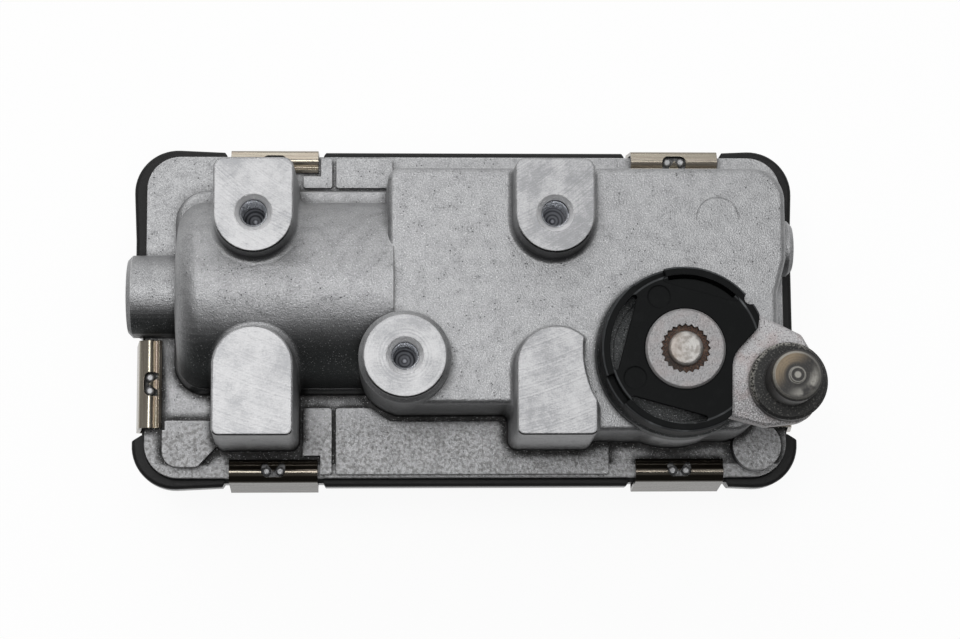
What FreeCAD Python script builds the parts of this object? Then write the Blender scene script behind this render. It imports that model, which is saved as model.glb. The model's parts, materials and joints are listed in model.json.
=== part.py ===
import FreeCAD, Part
import math
import os

os.makedirs("parts", exist_ok=True)

# Electronic turbocharger wastegate actuator: a die-cast housing closed by a clipped plastic cover,
# a DC motor and worm drive inside, and a lever with a link stud on the output shaft.
# Frame: the back of the cover rests on z = 0, +Z is the output shaft, +X is the long way of the casing.

# Casing outline
FLANGE_LENGTH = 124.4
FLANGE_WIDTH = 63.0
FLANGE_CORNER = 6.5
FLANGE_THICKNESS = 4.0
JOINT_Z = 20.0
WALL = 2.5
SMALL_CHAMFER = 0.5

# Cover
COVER_WALL = 2.2
COVER_FLOOR = 2.2
COVER_INSET = 1.4
COVER_CORNER = 5.5
COVER_EDGE_ROUND = 1.5
LIP_REACH = 0.8
LIP_HEIGHT = 4.4
BEAD_REACH_X = 3.1
BEAD_REACH_Y = 2.4
BEAD_CORNER = 8.5
BEAD_SWELL = 0.8
BEAD_SWELL_LENGTH = 18.5
BEAD_SWELL_ROUND = 20.0
BEAD_HEIGHT = 4.6
BEAD_ABOVE_JOINT = 1.2
BEAD_GAP = 0.25
BEAD_ROUND = 0.8
CLIP_RECESS_MARGIN = 1.0
CLIP_RECESS_TAPER = 2.6
CLIP_RECESS_REACH = 5.0
CLIP_RECESS_DEPTH = 2.0
STEP_X = 40.0
STEP_Z = 12.0
STEP_FLOOR = 1.9

# Gasket in the cover's groove
GASKET_WIDTH = 1.8
GASKET_DEPTH = 1.5
GASKET_INSET = 2.7
GASKET_CORNER = 5.4
GASKET_GAP = 0.1

# Connector socket, moulded into the cover under the step
SOCKET_WIDTH = 25.0
SOCKET_BOTTOM = 0.6
SOCKET_WALL = 1.8
SOCKET_MOUTH_INSET = 2.2
SOCKET_BACK = 4.0
SOCKET_CORNER = 2.0
LATCH_WIDTH = 7.0
LATCH_LENGTH = 5.0
LATCH_HEIGHT = 1.4
LATCH_SETBACK = 2.0
PIN_COUNT = 5
PIN_PITCH = 3.8
PIN_SIZE = 0.8
PIN_REACH = 10.0
PIN_BEND = 1.2
PIN_RISE_GAP = 1.3

# Spring clips
CLIP_WIDTH = 17.0
CLIP_THICKNESS = 0.7
CLIP_BEND = 0.55
CLIP_LONG_X = (-37.3, 41.1)
CLIP_END_Y = -13.5
CLIP_TIP_REACH = 3.1
CLIP_TIP_LIFT = 0.9
CLIP_VALLEY_REACH = 2.3
CLIP_CREST_REACH = 1.1
CLIP_CREST_LIFT = 1.3
CLIP_LEG_TOP = 0.7
CLIP_LEG_FLARE = 1.3
CLIP_HOOK = 1.6
CLIP_FIT = 0.05
CLIP_WINDOW_REACH = 2.55
CLIP_WINDOW_DEPTH = 2.6
CLIP_WINDOW_WIDTH = 4.6
CLIP_WINDOW_CORNER = 0.5
CLIP_WINDOW_ARCH = 1.2
CLIP_POCKET_MARGIN = 1.0
CLIP_POCKET_REACH = 3.0
CLIP_TONGUE = 1.6
CLIP_TONGUE_WIDTH = 2.6
PEG_RADIUS = 0.8
PEG_SPACING = 2.6
PEG_HEIGHT = 1.2
PEG_INSET = 1.1
PEG_CHAMFER = 0.3

# Gear section of the housing
GEAR_TOP_Z = 41.5
GEAR_LEFT = -15.3
GEAR_RIGHT = 60.2
GEAR_RIGHT_LOW = 58.4
GEAR_TOP_Y = 25.9
GEAR_LOW_Y = -19.3
GEAR_LEDGE_Y = -24.4
GEAR_LEDGE_X = 12.0
GEAR_CORNER = 6.0
GEAR_LOW_LEFT_CORNER = 2.0
GEAR_UPPER_LEFT_CORNER = 2.4
GEAR_SLANT = 6.4
GEAR_SLANT_RISE = 6.0
GEAR_SLANT_ROUND = 5.0
GEAR_BEND = 4.0
GEAR_BEND_LOW_Y = 2.0
GEAR_BEND_HIGH_Y = 8.5
GEAR_DRAFT = 0.5
GEAR_EDGE_ROUND = 1.2
GEAR_ROOF = 3.0
CHAMBER_CORNER = 4.0
CHAMBER_SMALL_CORNER = 1.5
CHAMBER_LEDGE_CORNER = 1.0
CHAMBER_SLANT = 4.0
CHAMBER_SLANT_RISE = 3.0

# Motor chamber
MOTOR_Y = 3.6
MOTOR_Z = 24.7
MOTOR_RADIUS = 15.5
MOTOR_LENGTH = 37.3
MOTOR_GAP = 0.3
MOTOR_REAR_X = -53.3
BULGE_END_WALL = 2.0
BULGE_END_ROUND = 5.0
PLINTH_STEP = 2.1
PLINTH_MARGIN = 0.15
PLINTH_TOP_Z = 27.2
PLINTH_DRAFT = 1.0
PLINTH_CORNER = 5.5
PLINTH_EDGE = 0.6
PARTITION = 3.0
REAR_BOSS_RADIUS = 8.0
REAR_BOSS_X = -65.4
REAR_BOSS_CHAMFER = 0.9
REAR_POCKET_DEPTH = 4.0
SIDE_BOSS_RADIUS = 5.4
SIDE_BOSS_X = 62.7
SIDE_BOSS_Y = 12.1
SIDE_BOSS_Z = 31.0

# Mounting bosses and pads, all machined to one plane
FACE_Z = 48.5
BOSS_WIDTH = 15.0
BOSS_ROW_Y = 15.8
BOSS_LEFT_X = -40.4
BOSS_PITCH = 56.3
BOSS_FAR_Y = 26.3
BOSS_CORNER = 2.0
PAD_CORNER = 1.3
BOSS_EDGE = 0.3
BOSS_DRAFT = 0.7
ROUND_BOSS_Y = -11.0
ROUND_BOSS_RADIUS = 7.9
ROUND_BOSS_COLLAR = 0.75
ROUND_BOSS_TURNED = 1.3
PAD_FAR_Y = -25.8
PAD_END_Y = -5.4
SCALLOP_RADIUS = 18.7
FOOT_ROUND = 1.2
THREAD_RADIUS = 2.5
LEFT_HOLE_DEPTH = 9.0
RIGHT_HOLE_DEPTH = 7.6
MIDDLE_HOLE_DEPTH = 7.2
DRILL_POINT = 1.5
THREAD_CHAMFER = 1.0

# Output shaft, its tower and bearings
SHAFT_X = 39.4
SHAFT_Y = -10.2
SHAFT_RADIUS = 4.6
SHAFT_TOP_Z = 51.2
SHAFT_FOOT_Z = 21.6
SHAFT_NECK_RADIUS = 4.0
TOWER_RADIUS = 15.8
TOWER_TOP_Z = 44.4
TOWER_EDGE = 0.7
TOWER_RING_INNER = 8.2
TOWER_RING_OUTER = 12.7
TOWER_RING_DEPTH = 0.8
BUSH_RADIUS = 6.5
BUSH_FOOT_Z = 37.0
BUSH_TOP_Z = 42.0
BUSH_HOUSING = 9.0
SEAL_GAP = 0.2
RUNNING_FIT = 0.05
SPLINE_TEETH = 24
SPLINE_DEPTH = 0.45
SPLINE_FIT = 0.04
SHAFT_STUB_RADIUS = 3.25
SHAFT_STUB_HEIGHT = 1.3
SHAFT_STUB_DOME = 0.7

# Lever
REST_ANGLE = -18.0
LEVER_LENGTH = 19.9
LEVER_HUB_RADIUS = 7.45
LEVER_HUB_FOOT_Z = 44.8
LEVER_HUB_TOP_Z = 51.9
LEVER_FOOT_Z = 45.8
LEVER_THICKNESS = 4.2
LEVER_END_RADIUS = 7.0
LEVER_HALF_WIDTH = 9.6
LEVER_EDGE = 0.4
ARM_HEEL_X = -4.0
ARM_HEEL_HALF = 6.0
ARM_HEEL_ROUND = 2.0
ARM_SHOULDER_X = 3.0
ARM_SHOULDER_ROUND = 3.0
ARM_LOW_X = 18.6
ARM_LOW_Y = -8.9
ARM_LOW_ROUND = 1.6
ARM_TIP_SLANT = 1.0
ARM_TIP_LOW_Y = -5.6
ARM_TIP_LOW_ROUND = 4.5
ARM_TIP_HIGH_Y = 3.0
ARM_TIP_HIGH_ROUND = 5.0
ARM_HIGH_X = 19.9
ARM_HIGH_Y = 9.4
ARM_HIGH_ROUND = 1.8
ARM_SWELL_X = 11.0
ARM_SWELL = 1.0

# Plastic disc over the lever's hub
DISC_RADIUS = 15.4
DISC_TOP_Z = 51.4
DISC_PLATE = 1.2
DISC_FOOT_Z = 44.8
DISC_SKIRT = 1.5
DISC_STEP = 1.4
DISC_STEP_DEPTH = 2.6
DISC_BORE_GAP = 0.1
DISC_EDGE = 0.4
DISC_ARM_GAP = 1.2
DISC_RING = 1.5
# Corners (x, y, radius), in the lever's own axes, of what the disc leaves free for the arm
DISC_WINDOW = ((12.0, -12.8, 0), (30.0, -12.8, 0), (30.0, 12.5, 0), (11.9, 12.5, 0), (11.2, 10.8, 1.0),
               (11.7, 7.8, 1.2), (8.7, 1.4, 5.0), (11.8, -9.0, 0.7), (10.9, -10.6, 0.6))
DISC_CHORD = 11.0
DISC_SLOT_END = 0.55
DISC_SLOT_ANGLES = (182.5, 272.5)
DISC_POCKET_ANGLE = 92.5
DISC_POCKET_DEPTH = 0.6
DISC_POCKET_SLIT = 0.75
DISC_POCKET_SPREAD = 56.0
DISC_STEPS = ((122.0, 146.0), (217.0, 240.0))
DISC_NOTCH_ANGLE = 55.5
DISC_NOTCH_RADIUS = 1.1
EJECTOR_RADIUS = 2.1
EJECTOR_DEPTH = 0.2
EJECTOR_PLACE_RADIUS = 10.8
EJECTOR_ANGLES = (134.0, 228.0)

# Link stud
STUD_FLANGE_RADIUS = 7.2
STUD_FLANGE_HEIGHT = 2.8
STUD_NECK_RADIUS = 4.1
STUD_NECK_HEIGHT = 1.3
STUD_RADIUS = 4.75
STUD_PIN_HEIGHT = 7.2
STUD_CHAMFER = 0.7
STUD_NUB_RADIUS = 1.4
STUD_NUB_HEIGHT = 0.6
STUD_RIVET_RADIUS = 3.0
STUD_RIVET_HEAD = 4.2
STUD_RIVET_HEIGHT = 1.0

# Gear train
PRESSURE_ANGLE = 20.0
SECTOR_MODULE = 0.8
SECTOR_TEETH = 68
PINION_TEETH = 14
SECTOR_FIRST = -8
SECTOR_LAST = 5
SECTOR_ADDENDUM = 0.8
PINION_ADDENDUM = 1.0
DEDENDUM = 1.25
GEAR_PLAY = 0.16
SECTOR_Z = 31.4
SECTOR_FACE = 5.0
SECTOR_RIM = 3.2
SECTOR_WEB = 2.4
SECTOR_RIB = 1.2
SECTOR_RIB_SHARES = (0.02, 0.34, 0.66, 0.98)
SECTOR_HUB_RADIUS = 7.0
SECTOR_HUB_FOOT_Z = 30.6
THRUST_GAP = 0.3
WORM_MODULE = 0.6
WORM_STARTS = 2
WORM_RADIUS = 3.0
WORM_LENGTH = 9.0
WORM_THREAD_SHARE = 0.34
WORM_BURY = 0.2
WORM_DEDENDUM = 1.2
WORM_END_GAP = 0.3
WHEEL_TEETH = 26
WHEEL_TOOTH_SHARE = 0.34
WHEEL_FACE = 6.0
WHEEL_WEB = 2.6
WHEEL_RIM = 1.6
WHEEL_HUB_RADIUS = 3.4
WHEEL_BORE_RADIUS = 2.4
AXLE_RADIUS = 1.5
AXLE_SEAT = 0.6
AXLE_POST_RADIUS = 3.4
AXLE_HEAD_RADIUS = 2.6
AXLE_HEAD = 0.8

# Motor inside
CAN_WALL = 1.2
CAN_CHAMFER = 1.0
CAN_NOSE_RADIUS = 4.3
CAN_NOSE = 2.0
END_CAP = 4.0
END_CAP_PLAY = 0.2
REAR_BUSH_STOP = 0.6
MAGNET_THICKNESS = 2.6
MAGNET_LENGTH = 24.0
MAGNET_SPREAD = 130.0
AIR_GAP = 0.4
ARMATURE_LENGTH = 20.0
ARMATURE_SLOTS = 5
ARMATURE_SLOT_WIDTH = 1.4
ARMATURE_WINDING = 2.5
ARMATURE_WINDING_SHARE = 0.7
ARMATURE_SLOT_SHARE = 0.55
MOTOR_SHAFT_RADIUS = 1.15
MOTOR_SHAFT_END = 1.0
COMMUTATOR_RADIUS = 3.2
COMMUTATOR_LENGTH = 4.0
BRUSH_SIZE = 2.2
BRUSH_LENGTH = 4.5
MOTOR_BUSH_RADIUS = 2.8
MOTOR_BUSH_LENGTH = 3.0
MOTOR_SCREW_PITCH = 16.0
MOTOR_SCREW_RADIUS = 1.25
MOTOR_SCREW_HEAD = 2.1
MOTOR_SCREW_HEAD_HEIGHT = 1.6
MOTOR_SCREW_SLOT = 0.6
MOTOR_SCREW_SLOT_DEPTH = 0.6
LEAD_WIDTH = 2.4
LEAD_THICKNESS = 0.6
LEAD_SPACING = 12.0
LEAD_BEND = 1.0
LEAD_DROP = 2.2
LEAD_INSET = 1.0
LEAD_ROOT = 5.0

# Circuit board
BOARD_Z = 15.2
BOARD_THICKNESS = 1.6
BOARD_LEFT = -11.0
BOARD_GAP = 1.9
BOARD_CORNER = 2.0
POST_RADIUS = 2.6
POST_PIN_RADIUS = 1.0
POST_PIN_HEIGHT = 2.6
POST_INSET = 4.0
POST_HOLE_GAP = 0.1
CAPACITOR_RADIUS = 4.0
CAPACITOR_HEIGHT = 9.0
CAPACITOR_X = 4.0
CAPACITOR_INSET = 11.0
CHIP_INSET = 8.0
DRIVER_CHIP_X = 14.0
CONTROL_CHIP_X = -2.0
DRIVER_CHIP = 10.0
DRIVER_CHIP_HEIGHT = 1.7
CONTROL_CHIP = 7.0
CONTROL_CHIP_HEIGHT = 1.2
SENSOR_CHIP = 4.0
SENSOR_CHIP_HEIGHT = 1.2
CHIP_CHAMFER = 0.2
SENSOR_GAP = 1.3
SENSOR_MAGNET_RADIUS = 4.4
SENSOR_MAGNET_HEIGHT = 2.2
HOLDER_WALL = 1.2
HOLDER_TOP_Z = 25.0
CIRCLIP_THICKNESS = 0.7
CIRCLIP_REACH = 1.6
CIRCLIP_DEPTH = 0.4
CIRCLIP_PLAY = 0.05
CIRCLIP_START = -60.0
CIRCLIP_END = 240.0

SOLDER_HEIGHT = 0.8

# Raised casting details on the flange
BURY = 0.5
BLOCK_HEIGHT = 1.2
BLOCK_GROOVE_X = -25.7
BLOCK_GROOVE = 0.8
BLOCK_LEFT_X = -31.7
BLOCK_RIGHT_X = 27.4
BLOCK_LOW_Y = -31.0
BLOCK_TOP_Y = -18.2
BLOCK_STEP_Y = -20.8
BLOCK_UPPER_Y = 25.1
BLOCK_CORNER = 0.5
BLOCK_STEP_X = -14.9
BLOCK_STEP_SLANT = 3.4
BLOCK_STEP_ROUND = 2.0
CORNER_BLOCK_HEIGHT = 2.2
CORNER_BLOCK_LEFT_X = -58.6
CORNER_BLOCK_RIGHT_X = -46.0
CORNER_BLOCK_LOW_Y = -29.6
CORNER_BLOCK_TOP_Y = -20.7
CORNER_BLOCK_SLANT_X = -51.9
CORNER_BLOCK_NOTCH_X = -48.2
CORNER_BLOCK_NOTCH_Y = -25.7
CORNER_BLOCK_ROUND = 3.0
CORNER_BLOCK_BEND = 1.0
LUMP_X = 56.0
LUMP_Y = -25.8
LUMP_RADIUS = 4.7
LUMP_HEIGHT = 3.2

# Worked out from the sizes above
HALF_LENGTH = FLANGE_LENGTH / 2
HALF_WIDTH = FLANGE_WIDTH / 2
FLANGE_TOP_Z = JOINT_Z + FLANGE_THICKNESS
SOCKET_MOUTH_X = HALF_LENGTH - SOCKET_MOUTH_INSET
SOCKET_BACK_X = STEP_X + SOCKET_BACK
BOARD_RIGHT = HALF_LENGTH - COVER_INSET - COVER_WALL - BOARD_GAP
BOARD_HALF_WIDTH = HALF_WIDTH - COVER_INSET - COVER_WALL - BOARD_GAP
CHIP_Y = BOARD_HALF_WIDTH - CHIP_INSET
BULGE_RADIUS = MOTOR_RADIUS + MOTOR_GAP + WALL
MOTOR_FRONT_X = MOTOR_REAR_X + MOTOR_LENGTH
BULGE_LEFT = MOTOR_REAR_X - MOTOR_GAP - BULGE_END_WALL
ROOF_Z = GEAR_TOP_Z - GEAR_ROOF
BOSS_RIGHT_X = BOSS_LEFT_X + BOSS_PITCH
ROUND_BOSS_X = BOSS_LEFT_X + BOSS_PITCH / 2
LEVER_TOP_Z = LEVER_FOOT_Z + LEVER_THICKNESS
SECTOR_RADIUS = SECTOR_MODULE * SECTOR_TEETH / 2
PINION_RADIUS = SECTOR_MODULE * PINION_TEETH / 2
WHEEL_RADIUS = WORM_MODULE * WHEEL_TEETH / 2
AXLE_Y = MOTOR_Y + WORM_RADIUS + WHEEL_RADIUS
TRAIN_DISTANCE = SECTOR_RADIUS + PINION_RADIUS
AXLE_X = SHAFT_X - math.sqrt(TRAIN_DISTANCE ** 2 - (AXLE_Y - SHAFT_Y) ** 2)
MESH_ANGLE = math.degrees(math.atan2(AXLE_Y - SHAFT_Y, AXLE_X - SHAFT_X))
WHEEL_Z = MOTOR_Z - WHEEL_FACE / 2
BOARD_TOP_Z = BOARD_Z + BOARD_THICKNESS
HOLDER_FOOT_Z = BOARD_TOP_Z + SENSOR_CHIP_HEIGHT + SENSOR_GAP
STUD_ANGLE = math.radians(REST_ANGLE)
STUD_X = SHAFT_X + LEVER_LENGTH * math.cos(STUD_ANGLE)
STUD_Y = SHAFT_Y + LEVER_LENGTH * math.sin(STUD_ANGLE)

Z_AXIS = FreeCAD.Vector(0, 0, 1)
X_AXIS = FreeCAD.Vector(1, 0, 0)


def vec(x, y, z=0.0):
    return FreeCAD.Vector(x, y, z)


def rod(x, y, z0, z1, radius):
    """Upright cylinder from z0 to z1."""
    return Part.makeCylinder(radius, z1 - z0, vec(x, y, z0), Z_AXIS)


def rod_x(x0, x1, y, z, radius):
    """Lying cylinder along X from x0 to x1."""
    return Part.makeCylinder(radius, x1 - x0, vec(x0, y, z), X_AXIS)


def tube(x, y, z0, z1, inner, outer):
    """Upright tube from z0 to z1."""
    return rod(x, y, z0, z1, outer).cut(rod(x, y, z0, z1, inner))


def block(x0, y0, z0, x1, y1, z1):
    """Box between two opposite corners."""
    return Part.makeBox(x1 - x0, y1 - y0, z1 - z0, vec(x0, y0, z0))


def rectangle(x0, y0, x1, y1, radius):
    """Corners of a rectangle with rounded corners, anticlockwise."""
    return [(x0, y0, radius), (x1, y0, radius), (x1, y1, radius), (x0, y1, radius)]


def moved_corner(before, corner, after, grow):
    """A corner's point and radius once both of its sides have moved outwards by grow."""
    ax, ay = corner[0] - before[0], corner[1] - before[1]
    bx, by = after[0] - corner[0], after[1] - corner[1]
    a_long, b_long = math.hypot(ax, ay), math.hypot(bx, by)
    ax, ay, bx, by = ax / a_long, ay / a_long, bx / b_long, by / b_long
    turn = ax * by - ay * bx
    across = 1 + ax * bx + ay * by
    x = corner[0] + grow * (ay + by) / across
    y = corner[1] - grow * (ax + bx) / across
    radius = corner[2] + grow if turn > 0 else corner[2] - grow
    return x, y, max(radius, 0.0) if corner[2] > 0 else 0.0


def rounded_wire(corners, z, grow=0.0):
    """Closed wire through (x, y, radius) corners given anticlockwise, moved outwards by grow."""
    count = len(corners)
    points = [moved_corner(corners[i - 1], corners[i], corners[(i + 1) % count], grow) for i in range(count)]
    ends, arcs = [], []
    for i, (x, y, radius) in enumerate(points):
        here = vec(x, y, z)
        back = vec(points[i - 1][0], points[i - 1][1], z).sub(here)
        ahead = vec(points[(i + 1) % count][0], points[(i + 1) % count][1], z).sub(here)
        back.normalize()
        ahead.normalize()
        half = back.getAngle(ahead) / 2
        reach = radius / math.tan(half)
        start, end = here + back * reach, here + ahead * reach
        ends.append((start, end))
        if radius > 0:
            middle = back + ahead
            middle.normalize()
            middle = here + middle * (radius / math.sin(half) - radius)
            arcs.append(Part.Arc(start, middle, end).toShape())
        else:
            arcs.append(None)
    edges = []
    for i in range(count):
        if arcs[i] is not None:
            edges.append(arcs[i])
        start, end = ends[i][1], ends[(i + 1) % count][0]
        if start.distanceToPoint(end) > 1e-6:
            edges.append(Part.LineSegment(start, end).toShape())
    return Part.Wire(edges)


def prism(corners, z0, z1, grow=0.0):
    """Straight-sided solid on a rounded outline."""
    return Part.Face(rounded_wire(corners, z0, grow)).extrude(vec(0, 0, z1 - z0))


def drafted(corners, z0, z1, draft):
    """Solid on a rounded outline at its top, wider by draft at its foot."""
    wires = [rounded_wire(corners, z0, draft), rounded_wire(corners, z1)]
    return Part.makeLoft(wires, True, True)


def within(edge, low, high):
    """Whether an edge lies inside the upright box between two (x, y) corners."""
    box = edge.BoundBox
    return box.XMin > low[0] and box.YMin > low[1] and box.XMax < high[0] and box.YMax < high[1]


def edges_at(shape, z, low=None, high=None):
    """Edges that lie flat at height z, inside the box between two (x, y) corners where given."""
    chosen = []
    for edge in shape.Edges:
        box = edge.BoundBox
        if abs(box.ZMin - z) > 1e-3 or abs(box.ZMax - z) > 1e-3:
            continue
        if low and not within(edge, low, high):
            continue
        chosen.append(edge)
    return chosen


def edges_across(shape, x):
    """Edges that lie flat across X at a place along it."""
    boxes = [(edge, edge.BoundBox) for edge in shape.Edges]
    return [edge for edge, box in boxes if abs(box.XMin - x) < 1e-3 and abs(box.XMax - x) < 1e-3]


def strip_side(points, offset, bend):
    """Corners of one long side of a bent strip, offset to the right of its centre line."""
    corners = []
    for i, (x, z) in enumerate(points):
        before = points[i - 1] if i > 0 else (2 * x - points[1][0], 2 * z - points[1][1])
        after = points[i + 1] if i + 1 < len(points) else (2 * x - before[0], 2 * z - before[1])
        moved = moved_corner(before, (x, z, 0.0), after, offset)
        turn = (x - before[0]) * (after[1] - z) - (z - before[1]) * (after[0] - x)
        at_end = i in (0, len(points) - 1)
        radius = 0.0 if at_end else bend + math.copysign(offset, offset * turn)
        corners.append((moved[0], moved[1], radius))
    return corners


def bent_strip(points, bend, width, thickness):
    """Strip of sheet metal along (x, z) points, its width centred on y = 0."""
    half = thickness / 2
    corners = strip_side(points, half, bend) + list(reversed(strip_side(points, -half, bend)))
    strip = Part.Face(rounded_wire(corners, -width / 2)).extrude(vec(0, 0, width))
    strip.rotate(vec(0, 0), X_AXIS, 90)
    return strip


def polar(x, y, radius, angle, z=0.0):
    """Point at a radius and an angle in degrees about (x, y)."""
    turn = math.radians(angle)
    return vec(x + radius * math.cos(turn), y + radius * math.sin(turn), z)


def arc_edge(x, y, radius, start, end, z):
    """Arc about (x, y) from one angle to another, in degrees."""
    middle = (start + end) / 2
    points = [polar(x, y, radius, angle, z) for angle in (start, middle, end)]
    return Part.Arc(points[0], points[1], points[2]).toShape()


def ring_sector(x, y, inner, outer, start, end, z0, z1):
    """Part of a flat ring between two angles in degrees."""
    edges = [arc_edge(x, y, outer, start, end, z0), arc_edge(x, y, inner, start, end, z0)]
    for angle in (start, end):
        edges.append(Part.LineSegment(polar(x, y, inner, angle, z0), polar(x, y, outer, angle, z0)).toShape())
    return Part.Face(Part.Wire(Part.__sortEdges__(edges))).extrude(vec(0, 0, z1 - z0))


def involute_flank(teeth, module, addendum, play):
    """Radius and half-angle in degrees at the root, foot, middle and tip of a tooth."""
    pitch = module * teeth / 2
    base = pitch * math.cos(math.radians(PRESSURE_ANGLE))
    root = pitch - DEDENDUM * module
    tip = pitch + addendum * module
    opening = math.radians(PRESSURE_ANGLE)
    half = math.pi / 2 / teeth - play / 2 / pitch + math.tan(opening) - opening
    flank = []
    foot = max(base, root)
    for radius in (foot, (foot + tip) / 2, tip):
        slope = math.acos(min(1.0, base / radius))
        flank.append((radius, math.degrees(half - math.tan(slope) + slope)))
    return [(root, flank[0][1])] + flank


def tooth_edges(x, y, z, centre, flank):
    """Both flanks and the tip of one tooth, from its lower side to its upper side."""
    root, foot, middle, tip = [polar(x, y, radius, centre - angle, z) for radius, angle in flank]
    edges = []
    if root.distanceToPoint(foot) > 1e-4:
        edges.append(Part.LineSegment(root, foot).toShape())
    edges.append(Part.Arc(foot, middle, tip).toShape())
    edges.append(arc_edge(x, y, flank[3][0], centre - flank[3][1], centre + flank[3][1], z))
    root, foot, middle, tip = [polar(x, y, radius, centre + angle, z) for radius, angle in flank]
    edges.append(Part.Arc(tip, middle, foot).toShape())
    if root.distanceToPoint(foot) > 1e-4:
        edges.append(Part.LineSegment(foot, root).toShape())
    return edges


def gear_wire(x, y, z, teeth, flank, phase):
    """Closed outline of a whole gear with one tooth centred on the angle phase."""
    step = 360.0 / teeth
    edges = []
    for index in range(teeth):
        centre = phase + index * step
        edges += tooth_edges(x, y, z, centre, flank)
        edges.append(arc_edge(x, y, flank[0][0], centre + flank[0][1], centre + step - flank[0][1], z))
    return Part.Wire(edges)


def d_outline(x, far_y, end_y, half, corner):
    """Corners of a pad that is square at far_y and round at end_y."""
    left, right = x - half, x + half
    if end_y < far_y:
        return [(left, end_y, half), (right, end_y, half), (right, far_y, corner), (left, far_y, corner)]
    return [(left, far_y, corner), (right, far_y, corner), (right, end_y, half), (left, end_y, half)]


def gear_section_outline():
    """Corners of the raised gear section, anticlockwise from its lower left."""
    return [(GEAR_LEFT, GEAR_LOW_Y, GEAR_LOW_LEFT_CORNER), (GEAR_LEDGE_X, GEAR_LOW_Y, 0.0),
            (GEAR_LEDGE_X, GEAR_LEDGE_Y, 0.0), (GEAR_RIGHT_LOW - GEAR_SLANT, GEAR_LEDGE_Y, GEAR_SLANT_ROUND),
            (GEAR_RIGHT_LOW, SHAFT_Y - GEAR_SLANT_RISE, GEAR_BEND),
            (GEAR_RIGHT_LOW, GEAR_BEND_LOW_Y, GEAR_BEND),
            (GEAR_RIGHT, GEAR_BEND_HIGH_Y, GEAR_BEND), (GEAR_RIGHT, GEAR_TOP_Y, GEAR_CORNER),
            (GEAR_LEFT, GEAR_TOP_Y, GEAR_UPPER_LEFT_CORNER)]


def gear_chamber_outline():
    """Corners of the space inside the gear section."""
    left = MOTOR_FRONT_X + PARTITION
    right = GEAR_RIGHT_LOW - WALL
    ledge = GEAR_LEDGE_X + WALL
    low, ledge_low, high = GEAR_LOW_Y + WALL, GEAR_LEDGE_Y + WALL, GEAR_TOP_Y - WALL
    return [(left, low, CHAMBER_SMALL_CORNER), (ledge, low, CHAMBER_LEDGE_CORNER),
            (ledge, ledge_low, CHAMBER_LEDGE_CORNER), (right - CHAMBER_SLANT, ledge_low, CHAMBER_CORNER),
            (right, SHAFT_Y - CHAMBER_SLANT_RISE, CHAMBER_CORNER), (right, high, CHAMBER_CORNER),
            (left, high, CHAMBER_SMALL_CORNER)]


def flange_plate():
    plate = rectangle(-HALF_LENGTH, -HALF_WIDTH, HALF_LENGTH, HALF_WIDTH, FLANGE_CORNER)
    return prism(plate, JOINT_Z, FLANGE_TOP_Z)


def gear_section():
    """Flat-topped gear section with drafted sides and a rounded upper edge."""
    body = drafted(gear_section_outline(), JOINT_Z + 1.0, GEAR_TOP_Z, GEAR_DRAFT)
    return body.makeFillet(GEAR_EDGE_ROUND, edges_at(body, GEAR_TOP_Z))


def motor_bulge():
    """Half-round motor chamber, rounded at its free end."""
    body = rod_x(BULGE_LEFT, GEAR_LEFT + 1.0, MOTOR_Y, MOTOR_Z, BULGE_RADIUS)
    body = body.makeFillet(BULGE_END_ROUND, edges_across(body, BULGE_LEFT))
    reach = 2 * BULGE_RADIUS
    below = block(BULGE_LEFT - 1, MOTOR_Y - reach, MOTOR_Z - reach, GEAR_LEFT + 2, MOTOR_Y + reach, JOINT_Z + 1)
    return body.cut(below)


def motor_plinth():
    """Low drafted step at the foot of the motor chamber, wider on its +Y side."""
    left, right = BULGE_LEFT - PLINTH_MARGIN, GEAR_LEFT + 1.0
    low = MOTOR_Y - BULGE_RADIUS - PLINTH_MARGIN
    high = MOTOR_Y + BULGE_RADIUS + PLINTH_STEP
    outline = [(left, low, PLINTH_CORNER), (right, low, 0.0), (right, high, 0.0), (left, high, PLINTH_CORNER)]
    step = drafted(outline, FLANGE_TOP_Z - 1.0, PLINTH_TOP_Z, PLINTH_DRAFT)
    return step.makeFillet(PLINTH_EDGE, edges_at(step, PLINTH_TOP_Z))


def machined_pad(outline):
    """Drafted boss on an outline, its machined face broken at the edge."""
    pad = drafted(outline, FLANGE_TOP_Z - 1, FACE_Z, BOSS_DRAFT)
    return pad.makeChamfer(BOSS_EDGE, edges_at(pad, FACE_Z))


def mounting_bosses():
    """Two square-backed bosses, two pads and one round boss, machined to one plane."""
    half = BOSS_WIDTH / 2
    shapes = []
    for x in (BOSS_LEFT_X, BOSS_RIGHT_X):
        shapes.append(machined_pad(d_outline(x, BOSS_FAR_Y, BOSS_ROW_Y - half, half, BOSS_CORNER)))
        shapes.append(machined_pad(d_outline(x, PAD_FAR_Y, PAD_END_Y, half, PAD_CORNER)))
    shapes[-1] = shapes[-1].cut(rod(SHAFT_X, SHAFT_Y, GEAR_TOP_Z, FACE_Z + 1, SCALLOP_RADIUS))
    collar = ROUND_BOSS_RADIUS + ROUND_BOSS_COLLAR
    collar_top = FACE_Z - ROUND_BOSS_TURNED
    shapes.append(rod(ROUND_BOSS_X, ROUND_BOSS_Y, FLANGE_TOP_Z - 1, collar_top - ROUND_BOSS_COLLAR, collar))
    shapes.append(Part.makeCone(collar, ROUND_BOSS_RADIUS, ROUND_BOSS_COLLAR,
                                vec(ROUND_BOSS_X, ROUND_BOSS_Y, collar_top - ROUND_BOSS_COLLAR)))
    turned = rod(ROUND_BOSS_X, ROUND_BOSS_Y, collar_top, FACE_Z, ROUND_BOSS_RADIUS)
    shapes.append(turned.makeChamfer(BOSS_EDGE, edges_at(turned, FACE_Z)))
    return shapes


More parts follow.
